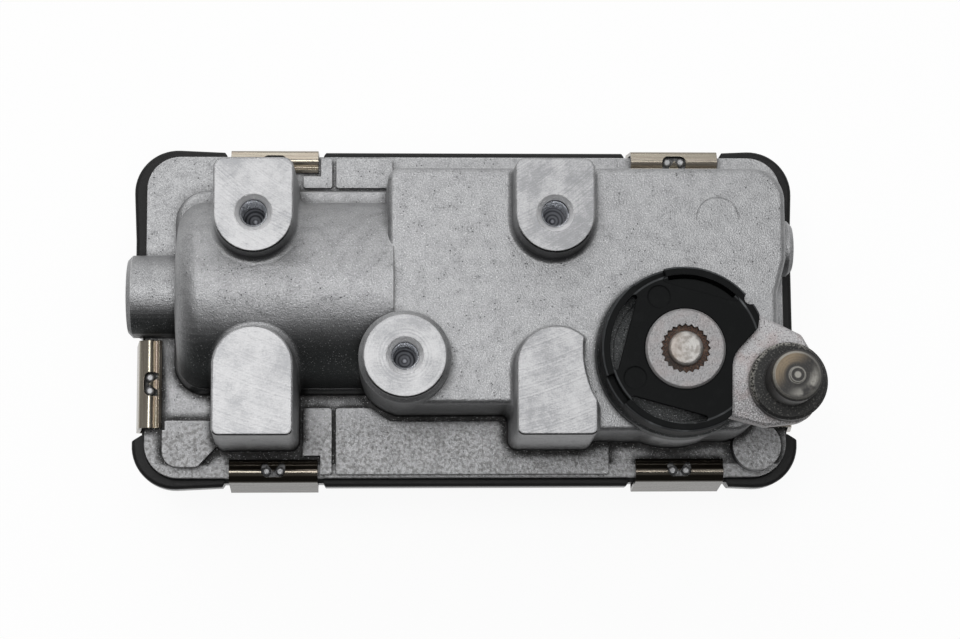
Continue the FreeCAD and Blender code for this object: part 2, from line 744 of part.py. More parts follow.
def threaded_holes():
    """Tapped holes in the three bosses, each with a chamfered mouth and a drill point."""
    cutters = []
    mouth = THREAD_RADIUS + THREAD_CHAMFER
    holes = [(BOSS_LEFT_X, BOSS_ROW_Y, LEFT_HOLE_DEPTH), (BOSS_RIGHT_X, BOSS_ROW_Y, RIGHT_HOLE_DEPTH),
             (ROUND_BOSS_X, ROUND_BOSS_Y, MIDDLE_HOLE_DEPTH)]
    for x, y, depth in holes:
        foot = FACE_Z - depth
        cutters.append(rod(x, y, foot, FACE_Z + 1, THREAD_RADIUS))
        cutters.append(Part.makeCone(0, THREAD_RADIUS, DRILL_POINT, vec(x, y, foot - DRILL_POINT)))
        cutters.append(Part.makeCone(THREAD_RADIUS, mouth, THREAD_CHAMFER, vec(x, y, FACE_Z - THREAD_CHAMFER)))
    return cutters


def end_bosses():
    """Round bosses at both ends of the casing, lying along X."""
    rear_end = BULGE_LEFT + BULGE_END_ROUND
    rear = rod_x(REAR_BOSS_X, rear_end, MOTOR_Y, MOTOR_Z, REAR_BOSS_RADIUS)
    rear = rear.makeChamfer(REAR_BOSS_CHAMFER, edges_across(rear, REAR_BOSS_X))
    reach = 2 * REAR_BOSS_RADIUS
    below = block(REAR_BOSS_X - 1, MOTOR_Y - reach, JOINT_Z - reach, rear_end + 1, MOTOR_Y + reach, JOINT_Z)
    side = rod_x(GEAR_RIGHT - WALL, SIDE_BOSS_X, SIDE_BOSS_Y, SIDE_BOSS_Z, SIDE_BOSS_RADIUS)
    side = side.makeChamfer(REAR_BOSS_CHAMFER, edges_across(side, SIDE_BOSS_X))
    return [rear.cut(below), side]


def corner_block_outline():
    """Corners of the raised field at the flange's lower left corner, with a notch for the clip."""
    return [(CORNER_BLOCK_LEFT_X, CORNER_BLOCK_LOW_Y, CORNER_BLOCK_ROUND),
            (CORNER_BLOCK_SLANT_X, CORNER_BLOCK_LOW_Y, CORNER_BLOCK_BEND),
            (CORNER_BLOCK_NOTCH_X, CORNER_BLOCK_NOTCH_Y, CORNER_BLOCK_BEND),
            (CORNER_BLOCK_RIGHT_X, CORNER_BLOCK_NOTCH_Y, 0.0), (CORNER_BLOCK_RIGHT_X, CORNER_BLOCK_TOP_Y, 0.0),
            (CORNER_BLOCK_LEFT_X, CORNER_BLOCK_TOP_Y, CORNER_BLOCK_BEND)]


def flange_blocks():
    """Raised fields of the casting on the flange, with the groove between them."""
    foot = FLANGE_TOP_Z - 0.5
    top = FLANGE_TOP_Z + BLOCK_HEIGHT
    left, right = BLOCK_GROOVE_X - BLOCK_GROOVE / 2, BLOCK_GROOVE_X + BLOCK_GROOVE / 2
    small = BLOCK_CORNER
    low_left = rectangle(BLOCK_LEFT_X, BLOCK_LOW_Y, left, BLOCK_TOP_Y, small)
    low_right = [(right, BLOCK_LOW_Y, small), (BLOCK_RIGHT_X, BLOCK_LOW_Y, small),
                 (BLOCK_RIGHT_X, BLOCK_STEP_Y, small), (BLOCK_STEP_X, BLOCK_STEP_Y, BLOCK_STEP_ROUND),
                 (BLOCK_STEP_X - BLOCK_STEP_SLANT, BLOCK_TOP_Y, BLOCK_STEP_ROUND), (right, BLOCK_TOP_Y, small)]
    up_left = rectangle(BLOCK_LEFT_X, BLOCK_UPPER_Y, left, -BLOCK_LOW_Y, small)
    up_right = rectangle(right, BLOCK_UPPER_Y, GEAR_LEFT + 1, -BLOCK_LOW_Y, small)
    shapes = [prism(outline, foot, top) for outline in (low_left, low_right, up_left, up_right)]
    shapes.append(prism(corner_block_outline(), foot, FLANGE_TOP_Z + CORNER_BLOCK_HEIGHT))
    shapes.append(rod(LUMP_X, LUMP_Y, foot, FLANGE_TOP_Z + LUMP_HEIGHT, LUMP_RADIUS))
    return shapes


def clip_places():
    """Name, middle of the flange edge, and outward direction of each clip."""
    low_x, high_x = CLIP_LONG_X
    return [
        ("clip_top_left", vec(low_x, HALF_WIDTH), vec(0, 1)),
        ("clip_top_right", vec(high_x, HALF_WIDTH), vec(0, 1)),
        ("clip_bottom_left", vec(low_x, -HALF_WIDTH), vec(0, -1)),
        ("clip_bottom_right", vec(high_x, -HALF_WIDTH), vec(0, -1)),
        ("clip_left", vec(-HALF_LENGTH, CLIP_END_Y), vec(-1, 0)),
        ("clip_right", vec(HALF_LENGTH, CLIP_END_Y), vec(1, 0)),
    ]


def placed(shape, middle, outward):
    """Moves a shape made about the origin, with +X outward, to a place on the flange edge."""
    turned = shape.copy()
    turned.rotate(vec(0, 0), Z_AXIS, math.degrees(math.atan2(outward.y, outward.x)))
    turned.translate(middle)
    return turned


def peg(side):
    """One of the two cast lumps that a clip's tongue catches between."""
    top = FLANGE_TOP_Z + PEG_HEIGHT
    lump = rod(-PEG_INSET, side * PEG_SPACING / 2, FLANGE_TOP_Z - BURY, top, PEG_RADIUS)
    return lump.makeChamfer(PEG_CHAMFER, edges_at(lump, top))


def clip_pocket():
    """Flat place on the flange under a clip's foot."""
    half = CLIP_WIDTH / 2 + CLIP_RECESS_MARGIN / 2
    depth = CLIP_TIP_REACH + CLIP_POCKET_MARGIN
    top = FLANGE_TOP_Z + CORNER_BLOCK_HEIGHT + 1
    return block(-depth, -half, FLANGE_TOP_Z, CLIP_POCKET_REACH, half, top)


def motor_chamber():
    """Space for the motor, open towards the cover, with the rear bearing pocket."""
    radius = MOTOR_RADIUS + MOTOR_GAP
    left = MOTOR_REAR_X - MOTOR_GAP
    space = rod_x(left, MOTOR_FRONT_X, MOTOR_Y, MOTOR_Z, radius)
    space = space.fuse(block(left, MOTOR_Y - radius, JOINT_Z - 1, MOTOR_FRONT_X, MOTOR_Y + radius, MOTOR_Z))
    nose = MOTOR_BUSH_RADIUS + CAN_WALL + MOTOR_GAP
    pocket = rod_x(left - REAR_POCKET_DEPTH, left + 1, MOTOR_Y, MOTOR_Z, nose)
    return space.fuse(pocket)


def partition_cuts():
    """Slot for the motor's nose and two screw holes in the wall between the chambers."""
    x0, x1 = MOTOR_FRONT_X - 0.5, MOTOR_FRONT_X + PARTITION + 0.5
    radius = CAN_NOSE_RADIUS + MOTOR_GAP / 2
    cuts = [rod_x(x0, x1, MOTOR_Y, MOTOR_Z, radius)]
    cuts.append(block(x0, MOTOR_Y - radius, JOINT_Z - 1, x1, MOTOR_Y + radius, MOTOR_Z))
    for side in (-1, 1):
        cuts.append(rod_x(x0, x1, MOTOR_Y + side * MOTOR_SCREW_PITCH / 2, MOTOR_Z, MOTOR_SCREW_RADIUS))
    return cuts


def on_bulge(edge):
    """Whether an edge lies on the motor chamber's round surface."""
    reaches = [math.hypot(point.y - MOTOR_Y, point.z - MOTOR_Z) for point in edge.discretize(5)]
    return all(abs(reach - BULGE_RADIUS) < 0.02 for reach in reaches)


def rounded_core():
    """Flange, gear section, motor chamber and bosses in one, rounded at the feet of the bosses and pads."""
    body = flange_plate().multiFuse([gear_section(), motor_bulge(), motor_plinth()] + mounting_bosses())
    body = body.removeSplitter()
    side = BOSS_WIDTH / 2 + FOOT_ROUND
    spans = [(PAD_FAR_Y - side, PAD_END_Y + FOOT_ROUND), (MOTOR_Y + FOOT_ROUND, BOSS_FAR_Y + side)]
    for low_y, high_y in spans:
        low, high = (BOSS_RIGHT_X - side, low_y), (BOSS_RIGHT_X + side, high_y)
        body = body.makeFillet(FOOT_ROUND, edges_at(body, GEAR_TOP_Z, low, high))
    for low_y, high_y in spans:
        low, high = (BOSS_LEFT_X - side, low_y), (BOSS_LEFT_X + side, high_y)
        body = body.makeFillet(FOOT_ROUND, [e for e in body.Edges if within(e, low, high) and on_bulge(e)])
    return body


def housing():
    """Die-cast housing with its chambers, bearing tower, bosses and pads."""
    body = rounded_core()
    tower = rod(SHAFT_X, SHAFT_Y, JOINT_Z + 1.0, TOWER_TOP_Z, TOWER_RADIUS)
    tower = tower.makeChamfer(TOWER_EDGE, edges_at(tower, TOWER_TOP_Z))
    tower = tower.cut(tube(SHAFT_X, SHAFT_Y, TOWER_TOP_Z - TOWER_RING_DEPTH, TOWER_TOP_Z + 1, TOWER_RING_INNER,
                           TOWER_RING_OUTER))
    body = body.multiFuse([tower] + end_bosses() + flange_blocks())
    pockets = [placed(clip_pocket(), middle, outward) for _, middle, outward in clip_places()]
    body = body.cut(pockets)
    for side in (-1, 1):
        body = body.multiFuse([placed(peg(side), middle, outward) for _, middle, outward in clip_places()])
    chamber = prism(gear_chamber_outline(), JOINT_Z - 1, ROOF_Z)
    body = body.cut([chamber, motor_chamber()] + partition_cuts())
    inside = [rod(SHAFT_X, SHAFT_Y, BUSH_FOOT_Z, ROOF_Z + 0.5, BUSH_HOUSING)]
    inside.append(rod(AXLE_X, AXLE_Y, pinion_top() + THRUST_GAP, ROOF_Z + 0.5, AXLE_POST_RADIUS))
    body = body.multiFuse(inside)
    cuts = threaded_holes()
    cuts.append(rod(SHAFT_X, SHAFT_Y, BUSH_FOOT_Z - 1, TOWER_TOP_Z + 1, BUSH_RADIUS))
    cuts.append(rod(AXLE_X, AXLE_Y, pinion_top(), ROOF_Z + AXLE_SEAT, AXLE_RADIUS))
    body = body.cut(cuts)
    return body.removeSplitter()


def inset_rectangle(grow, corner):
    """Corners of the flange outline moved outwards by grow, with a corner radius of its own."""
    return rectangle(-HALF_LENGTH - grow, -HALF_WIDTH - grow, HALF_LENGTH + grow, HALF_WIDTH + grow, corner)


def bead_outline():
    """Corners of the bead's outer side, which swells towards the casing's four corners."""
    x, y = HALF_LENGTH + BEAD_REACH_X, HALF_WIDTH + BEAD_REACH_Y
    near_x, near_y = x - BEAD_SWELL_LENGTH, y - BEAD_SWELL_LENGTH
    waist_x, waist_y = x - BEAD_SWELL, y - BEAD_SWELL
    soft = BEAD_SWELL_ROUND
    return [(-x, -y, BEAD_CORNER), (-near_x, -waist_y, soft), (near_x, -waist_y, soft),
            (x, -y, BEAD_CORNER), (waist_x, -near_y, soft), (waist_x, near_y, soft),
            (x, y, BEAD_CORNER), (near_x, waist_y, soft), (-near_x, waist_y, soft),
            (-x, y, BEAD_CORNER), (-waist_x, near_y, soft), (-waist_x, -near_y, soft)]


def bead():
    """Rounded outer bead of the cover's rim, interrupted at every clip and at the rear boss."""
    top = JOINT_Z + BEAD_ABOVE_JOINT
    ring = prism(bead_outline(), top - BEAD_HEIGHT, top)
    ring = ring.makeFillet(BEAD_ROUND, edges_at(ring, top) + edges_at(ring, top - BEAD_HEIGHT))
    ring = ring.cut(prism(inset_rectangle(BEAD_GAP, FLANGE_CORNER + BEAD_GAP), top - BEAD_HEIGHT - 1, top + 1))
    half = CLIP_WIDTH / 2 + CLIP_RECESS_MARGIN
    wide = half + CLIP_RECESS_TAPER
    reach = CLIP_RECESS_REACH
    gaps = []
    for _, middle, outward in clip_places():
        outline = [(LIP_REACH, -half, 0), (reach, -wide, 0), (reach, wide, 0), (LIP_REACH, half, 0)]
        gap = prism(outline, top - BEAD_HEIGHT - 1, top + 1)
        gap = gap.fuse(block(-CLIP_RECESS_DEPTH, -half, top - BEAD_HEIGHT - 1, LIP_REACH, half, top + 1))
        gaps.append(placed(gap, middle, outward))
    gaps.append(rod_x(REAR_BOSS_X - 2, -HALF_LENGTH + 1, MOTOR_Y, MOTOR_Z, REAR_BOSS_RADIUS + BEAD_GAP))
    return ring.cut(gaps)


def socket_solid():
    """Outer shape of the connector socket with its two latch ramps."""
    half = SOCKET_WIDTH / 2
    x0 = SOCKET_BACK_X - SOCKET_WALL
    shell = block(x0, -half, SOCKET_BOTTOM, SOCKET_MOUTH_X, half, STEP_Z + 0.5)
    lower = [e for e in edges_at(shell, SOCKET_BOTTOM) if e.BoundBox.XMax - e.BoundBox.XMin > 1]
    shell = shell.makeFillet(SOCKET_CORNER, lower)
    height = STEP_Z - SOCKET_BOTTOM
    ramps = []
    for side in (-1, 1):
        y = side * half
        tip = SOCKET_MOUTH_X - LATCH_SETBACK
        back = tip - LATCH_LENGTH
        corners = [vec(tip, y), vec(back, y), vec(back, y + side * LATCH_HEIGHT)]
        ramp = Part.Face(Part.makePolygon(corners + corners[:1])).extrude(vec(0, 0, LATCH_WIDTH))
        ramp.translate(vec(0, 0, SOCKET_BOTTOM + (height - LATCH_WIDTH) / 2))
        ramps.append(ramp)
    return shell.multiFuse(ramps)


def socket_space():
    half = SOCKET_WIDTH / 2 - SOCKET_WALL
    space = block(SOCKET_BACK_X, -half, SOCKET_BOTTOM + SOCKET_WALL, SOCKET_MOUTH_X + 1, half,
                  STEP_Z - SOCKET_WALL / 2)
    lengthwise = [e for e in space.Edges if e.BoundBox.XMax - e.BoundBox.XMin > 2 * SOCKET_CORNER]
    return space.makeFillet(SOCKET_CORNER / 2, lengthwise)


def board_posts():
    """Places of the four posts that carry the circuit board."""
    left, right = BOARD_LEFT + POST_INSET, BOARD_RIGHT - POST_INSET
    y = BOARD_HALF_WIDTH - POST_INSET
    return [(left, -y), (left, y), (right, -y), (right, y)]


def cover():
    """Moulded cover: a deep box with a step over the connector, a clip lip, a bead and board posts."""
    inset = COVER_INSET
    outer = inset_rectangle(-inset, COVER_CORNER)
    body = prism(outer, 0, JOINT_Z)
    body = body.makeFillet(COVER_EDGE_ROUND, edges_at(body, 0))
    body = body.cut(block(STEP_X, -HALF_WIDTH, -1, HALF_LENGTH + 1, HALF_WIDTH, STEP_Z))
    lip = inset_rectangle(LIP_REACH, FLANGE_CORNER + LIP_REACH)
    body = body.fuse(prism(lip, JOINT_Z - LIP_HEIGHT, JOINT_Z))
    body = body.multiFuse([bead(), socket_solid()])
    wall = inset + COVER_WALL
    room = inset_rectangle(-wall, COVER_CORNER - COVER_WALL)
    deep = [(x if x < 0 else STEP_X - COVER_WALL, y, r) for x, y, r in room]
    body = body.cut([prism(deep, COVER_FLOOR, JOINT_Z + 1), prism(room, STEP_Z + STEP_FLOOR, JOINT_Z + 1)])
    body = body.cut([gasket_ring(GASKET_GAP, JOINT_Z + 1), socket_space()])
    posts = []
    for x, y in board_posts():
        floor = COVER_FLOOR if x < STEP_X - COVER_WALL else STEP_Z + STEP_FLOOR
        posts.append(rod(x, y, floor - 0.5, BOARD_Z, POST_RADIUS))
        posts.append(rod(x, y, BOARD_Z - 0.5, BOARD_Z + POST_PIN_HEIGHT, POST_PIN_RADIUS))
    body = body.multiFuse(posts)
    slots = []
    for y in pin_rows():
        slots.append(block(pin_rise_x() - 1, y - PIN_SIZE / 2, pin_height() - PIN_SIZE / 2,
                           SOCKET_BACK_X + 1, y + PIN_SIZE / 2, pin_height() + PIN_SIZE / 2))
    return body.cut(slots).removeSplitter()


def gasket_ring(gap, top):
    """Ring of the gasket's section with a gap added on both sides, up to a height."""
    foot = JOINT_Z - GASKET_DEPTH
    half = GASKET_WIDTH / 2 + gap
    outer = prism(inset_rectangle(half - GASKET_INSET, GASKET_CORNER + gap), foot, top)
    inner = prism(inset_rectangle(-half - GASKET_INSET, GASKET_CORNER - GASKET_WIDTH - gap), foot - 1, top + 1)
    return outer.cut(inner)


def spring_clip():
    """Clip made about the middle of the flange edge, with +X outward and z as in the casing."""
    flat = FLANGE_TOP_Z + CLIP_FIT + CLIP_THICKNESS / 2
    hook = JOINT_Z - LIP_HEIGHT - CLIP_FIT - CLIP_THICKNESS / 2
    foot = CLIP_LEG_TOP + CLIP_LEG_FLARE
    points = [(-CLIP_TIP_REACH, flat + CLIP_TIP_LIFT), (-CLIP_VALLEY_REACH, flat),
              (-CLIP_CREST_REACH, flat + CLIP_CREST_LIFT), (CLIP_LEG_TOP, flat + CLIP_THICKNESS / 2),
              (foot, hook), (foot - CLIP_HOOK, hook)]
    strip = bent_strip(points, CLIP_BEND, CLIP_WIDTH, CLIP_THICKNESS)
    half = CLIP_WINDOW_WIDTH / 2
    low, high = -CLIP_WINDOW_REACH, CLIP_WINDOW_DEPTH - CLIP_WINDOW_REACH
    outline = [(low, -half, CLIP_WINDOW_CORNER), (high, -half, CLIP_WINDOW_ARCH),
               (high, half, CLIP_WINDOW_ARCH), (low, half, CLIP_WINDOW_CORNER)]
    window = prism(outline, 0, FACE_Z)
    root = CLIP_TONGUE_WIDTH / 2
    tongue = [(low - 0.1, -root, 0), (low + CLIP_TONGUE, 0, 0), (low - 0.1, root, 0)]
    return strip.cut(window.cut(prism(tongue, 0, FACE_Z)))


def pin_rows():
    return [(index - (PIN_COUNT - 1) / 2) * PIN_PITCH for index in range(PIN_COUNT)]


def pin_height():
    return (SOCKET_BOTTOM + SOCKET_WALL + STEP_Z - SOCKET_WALL / 2) / 2


def pin_rise_x():
    return STEP_X - COVER_WALL - PIN_RISE_GAP


def connector_pins():
    """Five square pins from the socket, bent up through the circuit board."""
    pins = []
    for y in pin_rows():
        tip = (SOCKET_BACK_X + PIN_REACH, pin_height())
        pin = bent_strip([tip, (pin_rise_x(), pin_height()), (pin_rise_x(), BOARD_TOP_Z + SOLDER_HEIGHT)],
                         PIN_BEND, PIN_SIZE, PIN_SIZE)
        pins.append(pin.translated(vec(0, y)))
    return Part.makeCompound(pins)


def circuit_board():
    outline = rectangle(BOARD_LEFT, -BOARD_HALF_WIDTH, BOARD_RIGHT, BOARD_HALF_WIDTH, BOARD_CORNER)
    board = prism(outline, BOARD_Z, BOARD_TOP_Z)
    holes = [rod(x, y, BOARD_Z - 1, BOARD_TOP_Z + 1, POST_PIN_RADIUS + POST_HOLE_GAP) for x, y in board_posts()]
    half = PIN_SIZE / 2
    for y in pin_rows():
        x = pin_rise_x()
        holes.append(block(x - half, y - half, BOARD_Z - 1, x + half, y + half, BOARD_TOP_Z + 1))
    for side in (-1, 1):
        holes.append(lead_box(side, BOARD_Z - 1, BOARD_TOP_Z + 1))
    return board.cut(holes)


def lead_x():
    return BOARD_LEFT + LEAD_BEND + LEAD_INSET


def lead_box(side, z0, z1):
    """Upright stretch of one motor lead between two heights."""
    y = MOTOR_Y + side * LEAD_SPACING / 2
    x = lead_x()
    return block(x - LEAD_THICKNESS / 2, y - LEAD_WIDTH / 2, z0, x + LEAD_THICKNESS / 2, y + LEAD_WIDTH / 2, z1)


def filter_capacitors():
    """Two capacitor cans hanging below the board."""
    cans = []
    foot = BOARD_Z - CAPACITOR_HEIGHT
    for side in (-1, 1):
        can = rod(CAPACITOR_X, side * (BOARD_HALF_WIDTH - CAPACITOR_INSET), foot, BOARD_Z, CAPACITOR_RADIUS)
        cans.append(can.makeChamfer(SMALL_CHAMFER, edges_at(can, foot)))
    return Part.makeCompound(cans)


def chip(x, y, size, height):
    """Square chip on the board with chamfered upper edges."""
    body = block(x - size / 2, y - size / 2, BOARD_TOP_Z, x + size / 2, y + size / 2, BOARD_TOP_Z + height)
    return body.makeChamfer(CHIP_CHAMFER, edges_at(body, BOARD_TOP_Z + height))


def motor_can():
    """Drawn steel can with a front nose, open at the rear end cap."""
    front = MOTOR_FRONT_X
    rear = MOTOR_REAR_X + END_CAP
    can = rod_x(rear, front, MOTOR_Y, MOTOR_Z, MOTOR_RADIUS)
    can = can.makeChamfer(CAN_CHAMFER, edges_across(can, front))
    can = can.fuse(rod_x(front - CAN_WALL, front + CAN_NOSE, MOTOR_Y, MOTOR_Z, CAN_NOSE_RADIUS))
    can = can.cut(rod_x(rear - 1, front - CAN_WALL, MOTOR_Y, MOTOR_Z, MOTOR_RADIUS - CAN_WALL))
    holes = [rod_x(front - CAN_WALL - 1, front + CAN_NOSE + 1, MOTOR_Y, MOTOR_Z, MOTOR_BUSH_RADIUS)]
    for side in (-1, 1):
        y = MOTOR_Y + side * MOTOR_SCREW_PITCH / 2
        holes.append(rod_x(front - CAN_WALL - 1, front + 1, y, MOTOR_Z, MOTOR_SCREW_RADIUS))
    return can.cut(holes)


def motor_end_cap():
    """Plastic end cap with the rear bearing nose and two lead slots."""
    rear = MOTOR_REAR_X
    cap = rod_x(rear, rear + END_CAP, MOTOR_Y, MOTOR_Z, MOTOR_RADIUS - END_CAP_PLAY)
    cap = cap.fuse(rod_x(rear - MOTOR_BUSH_LENGTH, rear + 1, MOTOR_Y, MOTOR_Z, MOTOR_BUSH_RADIUS + CAN_WALL))
    stop = rear - MOTOR_BUSH_LENGTH + REAR_BUSH_STOP
    bore = rod_x(stop, rear + END_CAP + 1, MOTOR_Y, MOTOR_Z, MOTOR_BUSH_RADIUS)
    cuts = [bore]
    for side in (-1, 1):
        y = MOTOR_Y + side * LEAD_SPACING / 2
        x = rear + END_CAP / 2
        cuts.append(block(x - LEAD_THICKNESS / 2, y - LEAD_WIDTH / 2, MOTOR_Z - MOTOR_RADIUS - 1,
                          x + LEAD_THICKNESS / 2, y + LEAD_WIDTH / 2, lead_root_z()))
    return cap.cut(cuts)


def lead_root_z():
    return MOTOR_Z - MOTOR_RADIUS + LEAD_ROOT


def motor_leads():
    """Two bent strips from the end cap under the motor to the circuit board."""
    strips = []
    low = MOTOR_Z - MOTOR_RADIUS - LEAD_DROP
    for side in (-1, 1):
        y = MOTOR_Y + side * LEAD_SPACING / 2
        points = [(MOTOR_REAR_X + END_CAP / 2, lead_root_z()), (MOTOR_REAR_X + END_CAP / 2, low),
                  (lead_x(), low), (lead_x(), BOARD_TOP_Z + SOLDER_HEIGHT)]
        strips.append(bent_strip(points, LEAD_BEND, LEAD_WIDTH, LEAD_THICKNESS).translated(vec(0, y)))
    return Part.makeCompound(strips)


def armature_radius():
    return MOTOR_RADIUS - CAN_WALL - MAGNET_THICKNESS - AIR_GAP


def armature_middle():
    return (MOTOR_REAR_X + END_CAP + MOTOR_FRONT_X) / 2 + 1.5


def motor_magnets():
    """Two curved magnets against the inside of the can."""
    outer = MOTOR_RADIUS - CAN_WALL
    x0 = armature_middle() - MAGNET_LENGTH / 2
    magnets = []
    for centre in (0.0, 180.0):
        half = MAGNET_SPREAD / 2
        arc = ring_sector(0, 0, outer - MAGNET_THICKNESS, outer, centre - half, centre + half, 0, MAGNET_LENGTH)
        arc.rotate(vec(0, 0), vec(0, 1, 0), 90)
        arc.translate(vec(x0, MOTOR_Y, MOTOR_Z))
        magnets.append(arc)
    return Part.makeCompound(magnets)


def armature():
    """Slotted core with its winding heads."""
    x0 = armature_middle() - ARMATURE_LENGTH / 2
    radius = armature_radius()
    core = rod_x(x0, x0 + ARMATURE_LENGTH, MOTOR_Y, MOTOR_Z, radius)
    slots = []
    for index in range(ARMATURE_SLOTS):
        slot = block(x0 - 1, -ARMATURE_SLOT_WIDTH / 2, radius * ARMATURE_SLOT_SHARE, x0 + ARMATURE_LENGTH + 1,
                     ARMATURE_SLOT_WIDTH / 2, radius + 1)
        slot.rotate(vec(0, 0, 0), X_AXIS, index * 360.0 / ARMATURE_SLOTS)
        slot.translate(vec(0, MOTOR_Y, MOTOR_Z))
        slots.append(slot)
    core = core.cut(slots)
    end = x0 + ARMATURE_LENGTH + ARMATURE_WINDING
    heads = rod_x(x0 - ARMATURE_WINDING, end, MOTOR_Y, MOTOR_Z, radius * ARMATURE_WINDING_SHARE)
    return core.fuse(heads).cut(rod_x(x0 - 9, x0 + ARMATURE_LENGTH + 9, MOTOR_Y, MOTOR_Z, MOTOR_SHAFT_RADIUS))


def commutator():
    x1 = armature_middle() - ARMATURE_LENGTH / 2 - ARMATURE_WINDING
    x0 = x1 - COMMUTATOR_LENGTH
    drum = rod_x(x0, x1, MOTOR_Y, MOTOR_Z, COMMUTATOR_RADIUS)
    return drum.cut(rod_x(x0 - 1, x1 + 1, MOTOR_Y, MOTOR_Z, MOTOR_SHAFT_RADIUS))


def motor_brushes():
    """Two carbon brushes either side of the commutator."""
    x = armature_middle() - ARMATURE_LENGTH / 2 - ARMATURE_WINDING - COMMUTATOR_LENGTH / 2
    half = BRUSH_SIZE / 2
    brushes = []
    for side in (-1, 1):
        near = MOTOR_Y + side * (COMMUTATOR_RADIUS + RUNNING_FIT)
        far = near + side * BRUSH_LENGTH
        brushes.append(block(x - half, min(near, far), MOTOR_Z - half, x + half, max(near, far), MOTOR_Z + half))
    return Part.makeCompound(brushes)


def motor_bushes():
    """Front and rear bearing bushes of the motor."""
    front = MOTOR_FRONT_X + CAN_NOSE
    rear = MOTOR_REAR_X - MOTOR_BUSH_LENGTH + REAR_BUSH_STOP
    bushes = []
    for x0 in (front - MOTOR_BUSH_LENGTH, rear):
        ring = rod_x(x0, x0 + MOTOR_BUSH_LENGTH, MOTOR_Y, MOTOR_Z, MOTOR_BUSH_RADIUS)
        bushes.append(ring.cut(rod_x(x0 - 1, x0 + 9, MOTOR_Y, MOTOR_Z, MOTOR_SHAFT_RADIUS + RUNNING_FIT)))
    return bushes


def motor_screws():
    """Two cheese-head screws that hold the motor to the partition."""
    screws = []
    seat = MOTOR_FRONT_X + PARTITION
    top = seat + MOTOR_SCREW_HEAD_HEIGHT
    half = MOTOR_SCREW_SLOT / 2
    for side in (-1, 1):
        y = MOTOR_Y + side * MOTOR_SCREW_PITCH / 2
        head = rod_x(seat, top, y, MOTOR_Z, MOTOR_SCREW_HEAD)
        slot = block(top - MOTOR_SCREW_SLOT_DEPTH, y - half, MOTOR_Z - MOTOR_SCREW_HEAD - 1,
                     top + 1, y + half, MOTOR_Z + MOTOR_SCREW_HEAD + 1)
        head = head.cut(slot)
        screws.append(head.fuse(rod_x(MOTOR_FRONT_X - CAN_WALL, seat, y, MOTOR_Z, MOTOR_SCREW_RADIUS)))
    return Part.makeCompound(screws)


def worm_start_x():
    return AXLE_X - WORM_LENGTH / 2


def motor_shaft():
    rear = MOTOR_REAR_X - MOTOR_BUSH_LENGTH + MOTOR_SHAFT_END
    front = worm_start_x() + WORM_LENGTH + MOTOR_SHAFT_END
    return rod_x(rear, front, MOTOR_Y, MOTOR_Z, MOTOR_SHAFT_RADIUS)


def worm():
    """Two-start worm pressed on the motor shaft, a thread facing the wheel at its middle."""
    lead = math.pi * WORM_MODULE * WORM_STARTS
    root = WORM_RADIUS - WORM_DEDENDUM * WORM_MODULE
    tip = WORM_RADIUS + WORM_MODULE
    land = math.pi * WORM_MODULE * WORM_THREAD_SHARE
    slope = math.tan(math.radians(PRESSURE_ANGLE))
    foot = root - WORM_BURY
    foot_half = land / 2 + (WORM_RADIUS - foot) * slope
    tip_half = land / 2 - WORM_MODULE * slope
    corners = [vec(foot, 0, -foot_half), vec(tip, 0, -tip_half), vec(tip, 0, tip_half), vec(foot, 0, foot_half)]
    profile = Part.makePolygon(corners + corners[:1])
    helix = Part.Wire(Part.makeHelix(lead, WORM_LENGTH + 2 * lead, root))
    body = Part.makeCylinder(root, WORM_LENGTH)
    slab = Part.makeCylinder(tip + 1, WORM_LENGTH)
    for start in range(WORM_STARTS):
        thread = helix.makePipeShell([profile], True, True)
        thread.translate(vec(0, 0, -lead))
        thread.rotate(vec(0, 0), Z_AXIS, start * 360.0 / WORM_STARTS)
        body = body.fuse(thread.common(slab))
    body = body.cut(Part.makeCylinder(MOTOR_SHAFT_RADIUS, WORM_LENGTH))
    body.rotate(vec(0, 0), Z_AXIS, 90 - 180.0 * WORM_LENGTH / lead)
    body.rotate(vec(0, 0), vec(0, 1, 0), 90)
    body.translate(vec(worm_start_x(), MOTOR_Y, MOTOR_Z))
    return body


def wheel_flank():
    """Straight-sided tooth of the worm wheel as radius and half-angle pairs."""
    pitch_half = 180.0 * WHEEL_TOOTH_SHARE / WHEEL_TEETH
    root = WHEEL_RADIUS - WORM_DEDENDUM * WORM_MODULE
    tip = WHEEL_RADIUS + WORM_MODULE
    taper = math.degrees(WORM_MODULE * math.tan(math.radians(PRESSURE_ANGLE)) / WHEEL_RADIUS)
    middle = (root + tip) / 2
    return [(root, pitch_half + taper), (root, pitch_half + taper), (middle, pitch_half), (tip, pitch_half - taper)]


def worm_wheel():
    """Plastic worm wheel with slanted teeth, a thin web and a hub."""
    lead_slope = WORM_STARTS * WORM_MODULE / 2 / WORM_RADIUS
    twist = math.degrees(WHEEL_FACE * lead_slope / WHEEL_RADIUS)
    flank = wheel_flank()
    wires = []
    for share in (-0.5, 0.0, 0.5):
        z = WHEEL_Z + WHEEL_FACE * (share + 0.5)
        wires.append(gear_wire(AXLE_X, AXLE_Y, z, WHEEL_TEETH, flank, wheel_phase() + twist * share))
    wheel = Part.makeLoft(wires, True, True)
    top = WHEEL_Z + WHEEL_FACE
    recess = (WHEEL_FACE - WHEEL_WEB) / 2
    inner = flank[0][0] - WHEEL_RIM
    cuts = [tube(AXLE_X, AXLE_Y, WHEEL_Z - 1, WHEEL_Z + recess, WHEEL_HUB_RADIUS, inner)]
    cuts.append(tube(AXLE_X, AXLE_Y, top - recess, top + 1, WHEEL_HUB_RADIUS, inner))
    cuts.append(rod(AXLE_X, AXLE_Y, WHEEL_Z - 1, top + 1, WHEEL_BORE_RADIUS))
    return wheel.cut(cuts)


